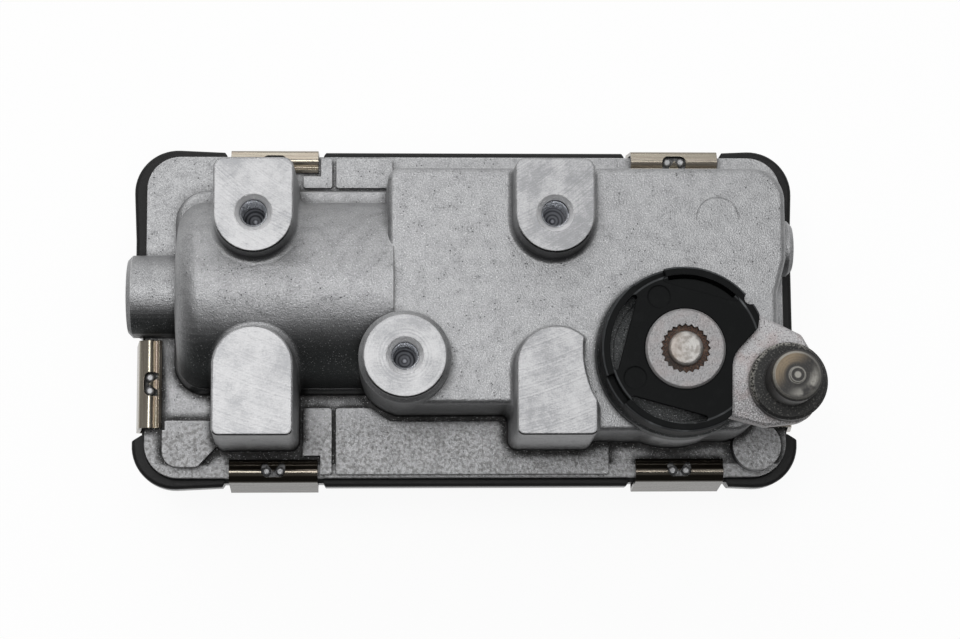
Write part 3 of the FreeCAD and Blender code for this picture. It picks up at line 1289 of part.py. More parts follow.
def wheel_phase():
    """Angle of a wheel tooth that sits in a space of the worm at rest."""
    return -90.0 + 180.0 / WHEEL_TEETH


def pinion_top():
    return SECTOR_Z + SECTOR_FACE + 0.5


def drive_pinion():
    """Steel pinion whose sleeve carries the worm wheel."""
    flank = involute_flank(PINION_TEETH, SECTOR_MODULE, PINION_ADDENDUM, GEAR_PLAY)
    phase = MESH_ANGLE + 180.0 + 180.0 / PINION_TEETH
    top = pinion_top()
    foot = SECTOR_Z - 0.5
    teeth = Part.Face(gear_wire(AXLE_X, AXLE_Y, foot, PINION_TEETH, flank, phase)).extrude(vec(0, 0, top - foot))
    collar = rod(AXLE_X, AXLE_Y, WHEEL_Z + WHEEL_FACE, foot, WHEEL_HUB_RADIUS)
    sleeve = rod(AXLE_X, AXLE_Y, WHEEL_Z, foot, WHEEL_BORE_RADIUS)
    bore = rod(AXLE_X, AXLE_Y, WHEEL_Z - 1, top + 1, AXLE_RADIUS + RUNNING_FIT)
    return teeth.multiFuse([collar, sleeve]).cut(bore)


def gear_axle():
    """Fixed axle of the worm wheel, headed below it."""
    head_top = WHEEL_Z - THRUST_GAP
    pin = rod(AXLE_X, AXLE_Y, head_top, ROOF_Z + AXLE_SEAT, AXLE_RADIUS)
    head = rod(AXLE_X, AXLE_Y, head_top - AXLE_HEAD, head_top, AXLE_HEAD_RADIUS)
    return pin.fuse(head)


def sector_gear():
    """Moulded sector gear with toothed rim, web, ribs and hub."""
    flank = involute_flank(SECTOR_TEETH, SECTOR_MODULE, SECTOR_ADDENDUM, GEAR_PLAY)
    step = 360.0 / SECTOR_TEETH
    z0, z1 = SECTOR_Z, SECTOR_Z + SECTOR_FACE
    root = flank[0][0]
    start = MESH_ANGLE + (SECTOR_FIRST - 0.5) * step
    end = MESH_ANGLE + (SECTOR_LAST + 0.5) * step
    edges = []
    for index in range(SECTOR_FIRST, SECTOR_LAST + 1):
        centre = MESH_ANGLE + index * step
        edges.append(arc_edge(SHAFT_X, SHAFT_Y, root, centre - step / 2, centre - flank[0][1], z0))
        edges += tooth_edges(SHAFT_X, SHAFT_Y, z0, centre, flank)
        edges.append(arc_edge(SHAFT_X, SHAFT_Y, root, centre + flank[0][1], centre + step / 2, z0))
    inner = root - SECTOR_RIM
    first, last = polar(SHAFT_X, SHAFT_Y, root, start, z0), polar(SHAFT_X, SHAFT_Y, root, end, z0)
    edges.append(Part.LineSegment(last, polar(SHAFT_X, SHAFT_Y, inner, end, z0)).toShape())
    edges.append(arc_edge(SHAFT_X, SHAFT_Y, inner, end, start, z0))
    edges.append(Part.LineSegment(polar(SHAFT_X, SHAFT_Y, inner, start, z0), first).toShape())
    rim = Part.Face(Part.Wire(edges)).extrude(vec(0, 0, z1 - z0))
    web_z = z0 + (SECTOR_FACE - SECTOR_WEB) / 2
    web = ring_sector(SHAFT_X, SHAFT_Y, SHAFT_NECK_RADIUS, inner + BURY, start, end, web_z, web_z + SECTOR_WEB)
    hub = rod(SHAFT_X, SHAFT_Y, SECTOR_HUB_FOOT_Z, BUSH_FOOT_Z - THRUST_GAP, SECTOR_HUB_RADIUS)
    ribs = []
    for share in SECTOR_RIB_SHARES:
        angle = start + (end - start) * share
        rib = block(SECTOR_HUB_RADIUS - 1, -SECTOR_RIB / 2, z0, inner + BURY, SECTOR_RIB / 2, z1)
        rib.rotate(vec(0, 0), Z_AXIS, angle)
        rib.translate(vec(SHAFT_X, SHAFT_Y))
        ribs.append(rib)
    body = rim.multiFuse([web, hub] + ribs)
    return body.cut(rod(SHAFT_X, SHAFT_Y, 0, FACE_Z, SHAFT_NECK_RADIUS))


def spline_wire(z, outer):
    """Closed outline of the serrated shaft end."""
    points = []
    for index in range(2 * SPLINE_TEETH):
        radius = outer if index % 2 == 0 else outer - SPLINE_DEPTH
        points.append(polar(SHAFT_X, SHAFT_Y, radius, index * 180.0 / SPLINE_TEETH, z))
    return Part.makePolygon(points + points[:1])


def output_shaft():
    """Output shaft with a plain bearing length, a serrated end, a domed stub and a circlip groove."""
    x, y = SHAFT_X, SHAFT_Y
    shaft = rod(x, y, BUSH_FOOT_Z - THRUST_GAP, LEVER_HUB_FOOT_Z, SHAFT_RADIUS)
    neck = rod(x, y, SHAFT_FOOT_Z, BUSH_FOOT_Z - THRUST_GAP, SHAFT_NECK_RADIUS)
    spline = Part.Face(spline_wire(LEVER_HUB_FOOT_Z, SHAFT_RADIUS))
    spline = spline.extrude(vec(0, 0, SHAFT_TOP_Z - LEVER_HUB_FOOT_Z))
    stub_top = SHAFT_TOP_Z + SHAFT_STUB_HEIGHT
    stub = rod(x, y, SHAFT_TOP_Z, stub_top, SHAFT_STUB_RADIUS)
    stub = stub.makeFillet(SHAFT_STUB_DOME, edges_at(stub, stub_top))
    shaft = shaft.multiFuse([neck, spline, stub])
    groove_top = SECTOR_HUB_FOOT_Z - CIRCLIP_PLAY
    groove = tube(x, y, groove_top - CIRCLIP_THICKNESS, groove_top, SHAFT_NECK_RADIUS - CIRCLIP_DEPTH,
                  SHAFT_NECK_RADIUS + 1)
    return shaft.cut(groove)


def shaft_circlip():
    """Open retaining ring under the sector gear."""
    top = SECTOR_HUB_FOOT_Z - CIRCLIP_PLAY
    inner = SHAFT_NECK_RADIUS - CIRCLIP_DEPTH
    return ring_sector(SHAFT_X, SHAFT_Y, inner, SHAFT_NECK_RADIUS + CIRCLIP_REACH, CIRCLIP_START, CIRCLIP_END,
                       top - CIRCLIP_THICKNESS, top)


def magnet_holder():
    """Plastic cup pressed on the shaft's foot, open downwards for the magnet."""
    outer = SHAFT_NECK_RADIUS + HOLDER_WALL
    cup_radius = SENSOR_MAGNET_RADIUS + HOLDER_WALL
    cup_top = SHAFT_FOOT_Z + 1.0
    cup = rod(SHAFT_X, SHAFT_Y, HOLDER_FOOT_Z, cup_top, cup_radius)
    body = cup.fuse(rod(SHAFT_X, SHAFT_Y, cup_top, HOLDER_TOP_Z, outer))
    cuts = [rod(SHAFT_X, SHAFT_Y, SHAFT_FOOT_Z, HOLDER_TOP_Z + 1, SHAFT_NECK_RADIUS)]
    cuts.append(rod(SHAFT_X, SHAFT_Y, HOLDER_FOOT_Z - 1, HOLDER_FOOT_Z + SENSOR_MAGNET_HEIGHT, SENSOR_MAGNET_RADIUS))
    return body.cut(cuts)


def arm_outline():
    """Corners of the arm in the lever's own axes, from its heel round the tip and back."""
    half = LEVER_HALF_WIDTH
    tip = LEVER_LENGTH + LEVER_END_RADIUS
    return [(ARM_HEEL_X, -ARM_HEEL_HALF, ARM_HEEL_ROUND), (ARM_SHOULDER_X, -half, ARM_SHOULDER_ROUND),
            (ARM_LOW_X, ARM_LOW_Y, ARM_LOW_ROUND), (tip - ARM_TIP_SLANT, ARM_TIP_LOW_Y, ARM_TIP_LOW_ROUND),
            (tip, ARM_TIP_HIGH_Y, ARM_TIP_HIGH_ROUND), (ARM_HIGH_X, ARM_HIGH_Y, ARM_HIGH_ROUND),
            (ARM_SWELL_X, half + ARM_SWELL, ARM_SHOULDER_ROUND), (ARM_SHOULDER_X, half, ARM_SHOULDER_ROUND),
            (ARM_HEEL_X, ARM_HEEL_HALF, ARM_HEEL_ROUND)]


def lever_arm():
    """Sintered steel lever: a hub with a serrated bore and a wide arm to the stud."""
    arm = prism(arm_outline(), LEVER_FOOT_Z, LEVER_TOP_Z)
    arm = arm.makeChamfer(LEVER_EDGE, edges_at(arm, LEVER_TOP_Z) + edges_at(arm, LEVER_FOOT_Z))
    arm.rotate(vec(0, 0), Z_AXIS, REST_ANGLE)
    arm.translate(vec(SHAFT_X, SHAFT_Y))
    hub = rod(SHAFT_X, SHAFT_Y, LEVER_HUB_FOOT_Z, LEVER_HUB_TOP_Z, LEVER_HUB_RADIUS)
    hub = hub.makeChamfer(LEVER_EDGE, edges_at(hub, LEVER_HUB_TOP_Z))
    bore = Part.Face(spline_wire(LEVER_HUB_FOOT_Z - 1, SHAFT_RADIUS + SPLINE_FIT))
    bore = bore.extrude(vec(0, 0, LEVER_HUB_TOP_Z - LEVER_HUB_FOOT_Z + 2))
    rivet_hole = rod(STUD_X, STUD_Y, LEVER_FOOT_Z - 1, LEVER_TOP_Z + 1, STUD_RIVET_RADIUS)
    return arm.fuse(hub).cut([bore, rivet_hole])


def disc_segment(angle, outer, chord, z0, z1):
    """Upright solid between a chord and an arc about the shaft, its tips rounded, in the lever's own axes."""
    half = math.degrees(math.acos(chord / outer))
    edges = [arc_edge(0, 0, outer, -half, half, z0)]
    edges.append(Part.LineSegment(polar(0, 0, outer, half, z0), polar(0, 0, outer, -half, z0)).toShape())
    body = Part.Face(Part.Wire(edges)).extrude(vec(0, 0, z1 - z0))
    tips = [e for e in body.Edges if e.BoundBox.ZMax - e.BoundBox.ZMin > (z1 - z0) / 2]
    body = body.makeFillet(DISC_SLOT_END, tips)
    body.rotate(vec(0, 0), Z_AXIS, angle)
    return body


def disc_cuts():
    """Slots, pocket, steps, notch and ejector marks of the disc, in the lever's own axes."""
    low, high = DISC_FOOT_Z - 1, DISC_TOP_Z + 1
    outer = DISC_RADIUS - DISC_RING
    cuts = [disc_segment(angle, outer, DISC_CHORD, low, high) for angle in DISC_SLOT_ANGLES]
    cuts.append(disc_segment(DISC_POCKET_ANGLE, outer, DISC_CHORD, DISC_TOP_Z - DISC_POCKET_DEPTH, high))
    half = DISC_POCKET_SPREAD / 2
    cuts.append(ring_sector(0, 0, outer - DISC_POCKET_SLIT, outer, DISC_POCKET_ANGLE - half,
                            DISC_POCKET_ANGLE + half, low, high))
    for start, end in DISC_STEPS:
        cuts.append(ring_sector(0, 0, DISC_RADIUS - DISC_STEP, DISC_RADIUS + 1, start, end,
                                DISC_TOP_Z - DISC_STEP_DEPTH, high))
    notch = polar(0, 0, DISC_RADIUS, DISC_NOTCH_ANGLE)
    cuts.append(rod(notch.x, notch.y, low, high, DISC_NOTCH_RADIUS))
    for angle in EJECTOR_ANGLES:
        place = polar(0, 0, EJECTOR_PLACE_RADIUS, angle)
        cuts.append(rod(place.x, place.y, DISC_TOP_Z - EJECTOR_DEPTH, high, EJECTOR_RADIUS))
    return cuts


def lever_disc():
    """Black plastic disc with a skirt, slots, stepped rim and a cut-away for the arm."""
    plate_foot = DISC_TOP_Z - DISC_PLATE
    outer = rod(0, 0, DISC_FOOT_Z, DISC_TOP_Z, DISC_RADIUS)
    outer = outer.makeChamfer(DISC_EDGE, edges_at(outer, DISC_TOP_Z))
    cuts = [rod(0, 0, DISC_FOOT_Z - 1, plate_foot, DISC_RADIUS - DISC_SKIRT)]
    cuts.append(rod(0, 0, DISC_FOOT_Z - 1, DISC_TOP_Z + 1, LEVER_HUB_RADIUS + DISC_BORE_GAP))
    cuts.append(prism(DISC_WINDOW, DISC_FOOT_Z - 1, DISC_TOP_Z + 1))
    half = LEVER_HALF_WIDTH + DISC_ARM_GAP
    cuts.append(block(1.0, -half, DISC_FOOT_Z - 1, 30.0, half + 1.0, LEVER_TOP_Z + DISC_BORE_GAP))
    body = outer.cut(cuts + disc_cuts())
    body.rotate(vec(0, 0), Z_AXIS, REST_ANGLE)
    body.translate(vec(SHAFT_X, SHAFT_Y))
    return body


def link_stud():
    """Link stud: a flanged pin with a neck, riveted through the arm."""
    x, y = STUD_X, STUD_Y
    flange_top = LEVER_TOP_Z + STUD_FLANGE_HEIGHT
    neck_top = flange_top + STUD_NECK_HEIGHT
    pin_top = neck_top + STUD_PIN_HEIGHT
    flange = rod(x, y, LEVER_TOP_Z, flange_top, STUD_FLANGE_RADIUS)
    flange = flange.makeChamfer(SMALL_CHAMFER, edges_at(flange, flange_top))
    pin = rod(x, y, neck_top, pin_top, STUD_RADIUS)
    pin = pin.makeChamfer(STUD_CHAMFER, edges_at(pin, pin_top))
    neck = rod(x, y, flange_top, neck_top, STUD_NECK_RADIUS)
    nub = rod(x, y, pin_top, pin_top + STUD_NUB_HEIGHT, STUD_NUB_RADIUS)
    shank = rod(x, y, LEVER_FOOT_Z, LEVER_TOP_Z, STUD_RIVET_RADIUS)
    head = rod(x, y, LEVER_FOOT_Z - STUD_RIVET_HEIGHT, LEVER_FOOT_Z, STUD_RIVET_HEAD)
    head = head.makeChamfer(SMALL_CHAMFER, edges_at(head, LEVER_FOOT_Z - STUD_RIVET_HEIGHT))
    return flange.multiFuse([pin, neck, nub, shank, head])


def export(name, shape):
    shape.exportStep("parts/" + name + ".step")


def main():
    export("housing", housing())
    export("cover", cover())
    export("cover_gasket", gasket_ring(0.0, JOINT_Z))
    clip = spring_clip()
    for name, middle, outward in clip_places():
        export(name, placed(clip, middle, outward))
    export("circuit_board", circuit_board())
    export("filter_capacitors", filter_capacitors())
    export("driver_chip", chip(DRIVER_CHIP_X, -CHIP_Y, DRIVER_CHIP, DRIVER_CHIP_HEIGHT))
    export("control_chip", chip(CONTROL_CHIP_X, CHIP_Y, CONTROL_CHIP, CONTROL_CHIP_HEIGHT))
    export("sensor_chip", chip(SHAFT_X, SHAFT_Y, SENSOR_CHIP, SENSOR_CHIP_HEIGHT))
    export("connector_pins", connector_pins())
    export("motor_can", motor_can())
    export("motor_end_cap", motor_end_cap())
    export("motor_leads", motor_leads())
    export("motor_magnets", motor_magnets())
    export("motor_brushes", motor_brushes())
    front_bush, rear_bush = motor_bushes()
    export("motor_front_bush", front_bush)
    export("motor_rear_bush", rear_bush)
    export("motor_screws", motor_screws())
    export("motor_armature", armature())
    export("motor_commutator", commutator())
    export("motor_shaft", motor_shaft())
    export("worm", worm())
    export("worm_wheel", worm_wheel())
    export("drive_pinion", drive_pinion())
    export("gear_axle", gear_axle())
    export("sector_gear", sector_gear())
    export("shaft_circlip", shaft_circlip())
    export("output_shaft", output_shaft())
    bore = SHAFT_RADIUS + RUNNING_FIT
    export("shaft_bush", tube(SHAFT_X, SHAFT_Y, BUSH_FOOT_Z, BUSH_TOP_Z, bore, BUSH_RADIUS))
    export("shaft_seal", tube(SHAFT_X, SHAFT_Y, BUSH_TOP_Z + SEAL_GAP, TOWER_TOP_Z, bore, BUSH_RADIUS))
    export("magnet_holder", magnet_holder())
    magnet_top = HOLDER_FOOT_Z + SENSOR_MAGNET_HEIGHT
    export("sensor_magnet", rod(SHAFT_X, SHAFT_Y, HOLDER_FOOT_Z, magnet_top, SENSOR_MAGNET_RADIUS))
    export("lever_arm", lever_arm())
    export("lever_disc", lever_disc())
    export("link_stud", link_stud())


main()
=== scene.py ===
"""Looks of the electronic wastegate actuator, laid over its construction model.

Sizes and places are in millimetres and become metres where they meet Blender. A span holds the value at which a mask
is 0 and the value at which it is 1.
"""

import json
import logging
import math
from dataclasses import dataclass
from enum import Enum
from functools import reduce
from typing import Any, Callable, Sequence

import bpy
from mathutils import Matrix, Vector

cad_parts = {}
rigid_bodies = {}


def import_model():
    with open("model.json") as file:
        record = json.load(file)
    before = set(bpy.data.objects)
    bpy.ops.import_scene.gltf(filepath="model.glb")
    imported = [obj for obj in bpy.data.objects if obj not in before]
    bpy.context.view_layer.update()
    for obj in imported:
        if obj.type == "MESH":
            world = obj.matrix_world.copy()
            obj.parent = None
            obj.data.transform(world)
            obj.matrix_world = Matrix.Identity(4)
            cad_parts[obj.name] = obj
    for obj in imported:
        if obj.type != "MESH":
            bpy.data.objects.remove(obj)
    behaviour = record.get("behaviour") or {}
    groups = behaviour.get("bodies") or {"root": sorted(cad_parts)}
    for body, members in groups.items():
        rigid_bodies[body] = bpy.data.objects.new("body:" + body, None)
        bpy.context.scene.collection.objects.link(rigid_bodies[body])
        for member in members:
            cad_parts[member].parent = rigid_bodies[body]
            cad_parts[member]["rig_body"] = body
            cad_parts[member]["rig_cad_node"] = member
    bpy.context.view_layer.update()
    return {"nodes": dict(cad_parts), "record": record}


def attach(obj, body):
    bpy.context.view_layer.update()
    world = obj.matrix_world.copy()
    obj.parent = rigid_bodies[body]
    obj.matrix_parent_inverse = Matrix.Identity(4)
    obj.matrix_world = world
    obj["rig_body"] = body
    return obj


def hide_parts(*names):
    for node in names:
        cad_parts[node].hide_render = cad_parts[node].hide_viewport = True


LOG = logging.getLogger("actuator")
MM = 0.001

Colour = tuple[float, float, float]
Point = tuple[float, float, float]
Spot = tuple[float, float]
Span = tuple[float, float]

SHAFT_SPOT: Spot = (39.4, -10.2)
HOLE_SPOTS: tuple[Spot, ...] = ((-40.4, 15.8), (15.9, 15.8), (-12.25, -11.0))
MACHINED_Z = 48.5
WHITE: Colour = (1.0, 1.0, 1.0)
BEVEL_SAMPLES = 4
CORNER_SAMPLES = 8
MIX_FIRST, MIX_SECOND, MIX_RESULT = 6, 7, 2
"""Numbers of the Mix node's colour sockets, which share their names with its other sockets."""


class Way(Enum):
    """Direction that a pattern follows."""

    X = 0
    Y = 1
    Z = 2


class Value:
    """A shader socket that can be used in arithmetic."""

    def __init__(self, graph: "NodeTree", socket: bpy.types.NodeSocket) -> None:
        """Keeps the socket and the tree that it belongs to."""
        self.graph = graph
        self.socket = socket

    def maths(self, operation: str, *others: Any) -> "Value":
        """Adds a Math node.

        Args:
            operation: Math node operation.
            others: further values or numbers.

        Returns:
            The node's result.
        """
        inputs = dict(enumerate((self, *others)))
        return self.graph.value("ShaderNodeMath", {"operation": operation}, inputs)

    def __add__(self, other: Any) -> "Value":
        """Sum."""
        return self.maths("ADD", other)

    def __radd__(self, other: Any) -> "Value":
        """Sum with a number first."""
        return self.maths("ADD", other)

    def __sub__(self, other: Any) -> "Value":
        """Difference."""
        return self.maths("SUBTRACT", other)

    def __rsub__(self, other: float) -> "Value":
        """Difference with a number first."""
        return self.graph.value("ShaderNodeMath", {"operation": "SUBTRACT"}, {0: other, 1: self})

    def __mul__(self, other: Any) -> "Value":
        """Product."""
        return self.maths("MULTIPLY", other)

    def __rmul__(self, other: Any) -> "Value":
        """Product with a number first."""
        return self.maths("MULTIPLY", other)

    def __truediv__(self, other: Any) -> "Value":
        """Quotient."""
        return self.maths("DIVIDE", other)

    def ramp(self, low: float, high: float) -> "Value":
        """Smooth step from 0 at low to 1 at high, or falling where low is the larger.

        Args:
            low: value that gives 0.
            high: value that gives 1.

        Returns:
            The mask, from 0 to 1.
        """
        settings = {"interpolation_type": "SMOOTHSTEP", "clamp": True}
        if low < high:
            ends = {"From Min": low, "From Max": high}
        else:
            ends = {"From Min": high, "From Max": low, "To Min": 1.0, "To Max": 0.0}
        return self.graph.value("ShaderNodeMapRange", settings, {"Value": self, **ends})

    def band(self, middle: float, half: float, soft: float) -> "Value":
        """Mask that is 1 within half of a middle value and fades out over soft."""
        return (self - middle).maths("ABSOLUTE").ramp(half + soft, half)

    def either(self, other: Any) -> "Value":
        """The larger of two values."""
        return self.maths("MAXIMUM", other)

    def hypotenuse(self, other: "Value") -> "Value":
        """Length of a line that reaches this value one way and the other value across it."""
        return (self * self + other * other).maths("SQRT")

    def rings(self, frequency: float) -> "Value":
        """Sine wave of the value, from -1 to 1."""
        return (self * frequency).maths("SINE")


class NodeTree:
    """Shader node tree with one method that adds any node."""

    def __init__(self, tree: bpy.types.NodeTree) -> None:
        """Keeps Blender's own tree."""
        self.tree = tree

    def node(self, kind: str, settings: dict[str, Any], inputs: dict[Any, Any]) -> bpy.types.Node:
        """Adds any node.

        Args:
            kind: node type.
            settings: attributes set first; "stops" fills a colour ramp.
            inputs: values or links by socket name or number.

        Returns:
            The new node.
        """
        made = self.tree.nodes.new(kind)
        for key, setting in settings.items():
            if key == "stops":
                self.fill_ramp(made, setting)
            else:
                setattr(made, key, setting)
        for key, given in inputs.items():
            self.feed(made.inputs[key], given)
        return made

    def fill_ramp(self, made: bpy.types.Node, stops: Sequence[tuple[float, Colour]]) -> None:
        """Sets the stops of a colour ramp.

        Args:
            made: colour ramp node.
            stops: positions from 0 to 1, each with its colour.
        """
        elements = made.color_ramp.elements
        while len(elements) < len(stops):
            elements.new(0.5)
        for element, (position, colour) in zip(elements, stops):
            element.position = position
            element.color = (*colour, 1.0)

    def feed(self, socket: bpy.types.NodeSocket, given: Any) -> None:
        """Links a value to a socket or sets the socket's own number or colour.

        Args:
            socket: input socket.
            given: value, number, vector or colour.
        """
        if isinstance(given, Value):
            self.tree.links.new(given.socket, socket)
        elif isinstance(given, tuple) and socket.type == "RGBA":
            socket.default_value = (*given, 1.0)
        else:
            socket.default_value = given

    def value(self, kind: str, settings: dict[str, Any], inputs: dict[Any, Any], output: Any = 0) -> Value:
        """Adds a node and gives one of its outputs."""
        return Value(self, self.node(kind, settings, inputs).outputs[output])

    def split(self, vector: Value) -> tuple[Value, Value, Value]:
        """The three parts of a vector."""
        parts = self.node("ShaderNodeSeparateXYZ", {}, {0: vector}).outputs
        return Value(self, parts[0]), Value(self, parts[1]), Value(self, parts[2])


class Graph(NodeTree):
    """Node tree of one finish, with helpers for the patterns that the finishes share."""

    def __init__(self, name: str) -> None:
        """Starts a material that holds only a Principled shader.

        Args:
            name: name of the material.
        """
        self.material = bpy.data.materials.new(name)
        self.material.use_nodes = True
        super().__init__(self.material.node_tree)
        self.tree.nodes.clear()
        self.shader = self.node("ShaderNodeBsdfPrincipled", {}, {})
        shaded = Value(self, self.shader.outputs[0])
        self.output = self.node("ShaderNodeOutputMaterial", {}, {"Surface": shaded})
        self.place = self.value("ShaderNodeTexCoord", {}, {}, "Object")
        self.x, self.y, self.z = (part / MM for part in self.split(self.place))

    def stretched(self, stretch: Point) -> Value:
        """Object coordinates in millimetres, stretched along the axes."""
        scale = Vector(tuple(part / MM for part in stretch))
        return self.value("ShaderNodeMapping", {}, {"Vector": self.place, "Scale": scale})

    def noise(self, scale: float, detail: float = 3.0, stretch: Point = (1.0, 1.0, 1.0)) -> Value:
        """Noise with a number of grains to the millimetre.

        Args:
            scale: grains to the millimetre.
            detail: octaves of the noise.
            stretch: factors on the three axes.

        Returns:
            The noise, about 0.5 in the middle.
        """
        inputs = {"Vector": self.stretched(stretch), "Scale": scale, "Detail": detail}
        return self.value("ShaderNodeTexNoise", {}, inputs)

    def cells(self, scale: float) -> Value:
        """Distance to the nearest of scattered points, a number of them to the millimetre."""
        inputs = {"Vector": self.stretched((1.0, 1.0, 1.0)), "Scale": scale}
        return self.value("ShaderNodeTexVoronoi", {"feature": "F1"}, inputs)

    def around(self, spot: Spot) -> Value:
        """Distance from an upright axis."""
        return (self.x - spot[0]).hypotenuse(self.y - spot[1])

    def mixed(self, factor: Value, first: Any, second: Any) -> Value:
        """Blend that goes from the first colour to the second as the factor goes from 0 to 1."""
        inputs = {"Factor": factor, MIX_FIRST: first, MIX_SECOND: second}
        return self.value("ShaderNodeMix", {"data_type": "RGBA"}, inputs, MIX_RESULT)

    def creases(self, reach: float) -> Value:
        """Openness of the surroundings within a reach: low in inner corners."""
        settings = {"samples": CORNER_SAMPLES}
        return self.value("ShaderNodeAmbientOcclusion", settings, {"Distance": reach * MM}, "AO")

    def rounded(self, radius: float) -> Value:
        """Normal over edges that are softened to a radius."""
        return self.value("ShaderNodeBevel", {"samples": BEVEL_SAMPLES}, {"Radius": radius * MM})

    def true_normal(self) -> Value:
        """Normal of the face itself."""
        return self.value("ShaderNodeNewGeometry", {}, {}, "True Normal")

    def facing(self, way: Way) -> Value:
        """How far the surface faces along an axis, from -1 to 1."""
        return self.split(self.true_normal())[way.value]

    def edges(self, radius: float) -> Value:
        """Nearness of sharp edges.

        Args:
            radius: reach from the edge.

        Returns:
            The mask: 0 on open ground, 1 at an edge.
        """
        inputs = {0: self.rounded(radius), 1: self.true_normal()}
        likeness = self.value("ShaderNodeVectorMath", {"operation": "DOT_PRODUCT"}, inputs, "Value")
        return likeness.ramp(0.985, 0.90)

    def relief(self, height: Value, depth: float, edge: float) -> Value:
        """Bump over softened edges.

        Args:
            height: pattern from 0 to 1.
            depth: height of the pattern.
            edge: radius of the softened edges.

        Returns:
            The normal.
        """
        inputs = {"Height": height, "Distance": depth * MM, "Strength": 1.0, "Normal": self.rounded(edge)}
        return self.value("ShaderNodeBump", {}, inputs)

    def finish(self, **sockets: Any) -> bpy.types.Material:
        """Feeds the Principled shader.

        Args:
            sockets: values by socket name, in small letters and with underscores for spaces.

        Returns:
            The material.
        """
        named = {socket.name.lower().replace(" ", "_"): socket for socket in self.shader.inputs}
        for name, given in sockets.items():
            self.feed(named[name], given)
        return self.material


@dataclass(frozen=True)
class CastAluminium:
    """Blasted die-cast aluminium with machined faces, a mottled flange, painted glints and edge highlights, and
    painted shade with dirt in the corners.
    """

    light: Colour = (0.335, 0.337, 0.342)
    dull: Colour = (0.195, 0.197, 0.202)
    pit: Colour = (0.05, 0.05, 0.052)
    glint: Colour = (0.75, 0.75, 0.76)
    bright: Colour = (0.40, 0.40, 0.405)
    brushed: Colour = (0.185, 0.187, 0.193)
    # Painted shade with dirt, used for inner corners, seams and the lower edges of the machined faces.
    shade_and_grime: Colour = (0.012, 0.0118, 0.0115)
    mottle: Colour = (0.095, 0.093, 0.09)
    shade: Colour = (0.060, 0.061, 0.063)
    deep_shade: Colour = (0.020, 0.023, 0.023)
    bore: Colour = (0.34, 0.35, 0.38)
    bore_shade: Colour = (0.07, 0.073, 0.085)
    metallic: float = 0.80
    roughness: float = 0.40
    grain_depth: float = 0.11
    soft_edge: float = 0.28
    worn_lit_edge: float = 0.35
    corner_reach: float = 2.2
    machined_z: float = MACHINED_Z
    brink_shadow_drop: float = 0.16
    shaft: Spot = SHAFT_SPOT
    shadow_radius: float = 16.6
    shadow_z: Span = (39.0, 40.0)
    chamber_axis: Spot = (3.6, 24.7)
    chamber_radius: float = 18.3
    chamber_end_x: float = -15.3
    left_end_x: Span = (-50.0, -51.0)
    left_end_z: Span = (27.0, 27.4)
    wall_foot_z: Span = (25.6, 26.4)
    wall_rise_z: Span = (28.0, 34.0)
    wall_bare_z: Span = (28.0, 31.0)
    flange_front_y: Span = (-25.0, -25.4)
    mottled_y: Span = (-17.0, -24.0)
    mottled_z: Span = (36.0, 30.0)
    seam_z: Span = (34.0, 30.0)
    seam_near_y: Span = (4.0, -12.0)
    seam_end_y: Span = (-29.4, -28.8)
    round_boss: Spot = HOLE_SPOTS[2]
    round_boss_rim: Span = (9.2, 9.0)
    milling_centre: Spot = (-12.0, 60.0)
    holes: tuple[Spot, ...] = HOLE_SPOTS
    bore_rim: Span = (2.8, 2.7)
    bore_z: Span = (36.0, 37.0)
    mouth_radius: float = 3.05
    mouth_z: Span = (47.2, 47.5)
    side_pegs: tuple[Spot, ...] = ((-38.6, 30.4), (-36.0, 30.4), (39.8, 30.4), (42.4, 30.4))
    end_pegs: tuple[Spot, ...] = ((61.1, -14.8), (61.1, -12.2))
    peg_rim: Span = (1.2, 1.0)
    peg_z: Span = (24.0, 24.3)
    vent_mark: Spot = (47.3, 16.1)
    vent_radius: float = 4.0

    def material(self) -> bpy.types.Material:
        """Builds the finish.

        Returns:
            The material.
        """
        g = Graph("cast aluminium")
        fine = g.noise(3.4, 2.0)
        coarse = g.noise(0.45, 5.0)
        pits = g.cells(1.1).ramp(0.16, 0.07) * coarse.ramp(0.44, 0.58)
        painted_glints = g.noise(4.2, 1.0).ramp(0.67, 0.72)
        up = g.facing(Way.Z)
        machined = g.z.ramp(self.machined_z - 0.08, self.machined_z - 0.03) * up.ramp(0.9, 0.98)
        raw = 1.0 - machined
        bore = self.in_bores(g) * raw
        lines = self.cutting_lines(g, coarse)
        colour = g.mixed(fine.ramp(0.34, 0.68) * 0.42 + coarse.ramp(0.35, 0.68) * 0.28, self.light, self.dull)
        colour = g.mixed(self.flow_lines(g, coarse) * 0.35, colour, self.pit)
        colour = g.mixed(pits * 0.85, colour, self.pit)
        # Edges made lighter by wear and a painted highlight.
        colour = g.mixed(g.edges(self.worn_lit_edge) * (0.25 + fine * 0.6), colour, self.glint)
        colour = self.shaded_and_dirtied(g, colour, fine, coarse)
        # Painted glints on the upward faces.
        colour = g.mixed(painted_glints * 0.38 * up.ramp(0.2, 0.7), colour, self.glint)
        colour = g.mixed(machined, colour, g.mixed(lines, self.bright, self.brushed))
        colour = g.mixed(bore, colour, self.bore_tint(g))
        # Painted highlight on the countersunk mouths.
        colour = g.mixed(self.at_mouths(g) * raw * 0.85, colour, self.glint)
        mark = g.around(self.vent_mark).band(self.vent_radius, 0.04, 0.10)
        mark = mark * (g.y - self.vent_mark[1]).ramp(-1.5, 1.5)
        rough = self.roughness + fine * 0.16 + machined * (0.02 - lines * 0.10) + bore * 0.10
        cast = (fine * 0.8 - pits * 0.6 + coarse * 0.9) * raw * (1.0 - bore)
        normal = g.relief(cast + lines * machined * 0.14 - mark * 0.7, self.grain_depth, self.soft_edge)
        return g.finish(base_color=colour, metallic=self.metallic, roughness=rough, normal=normal)

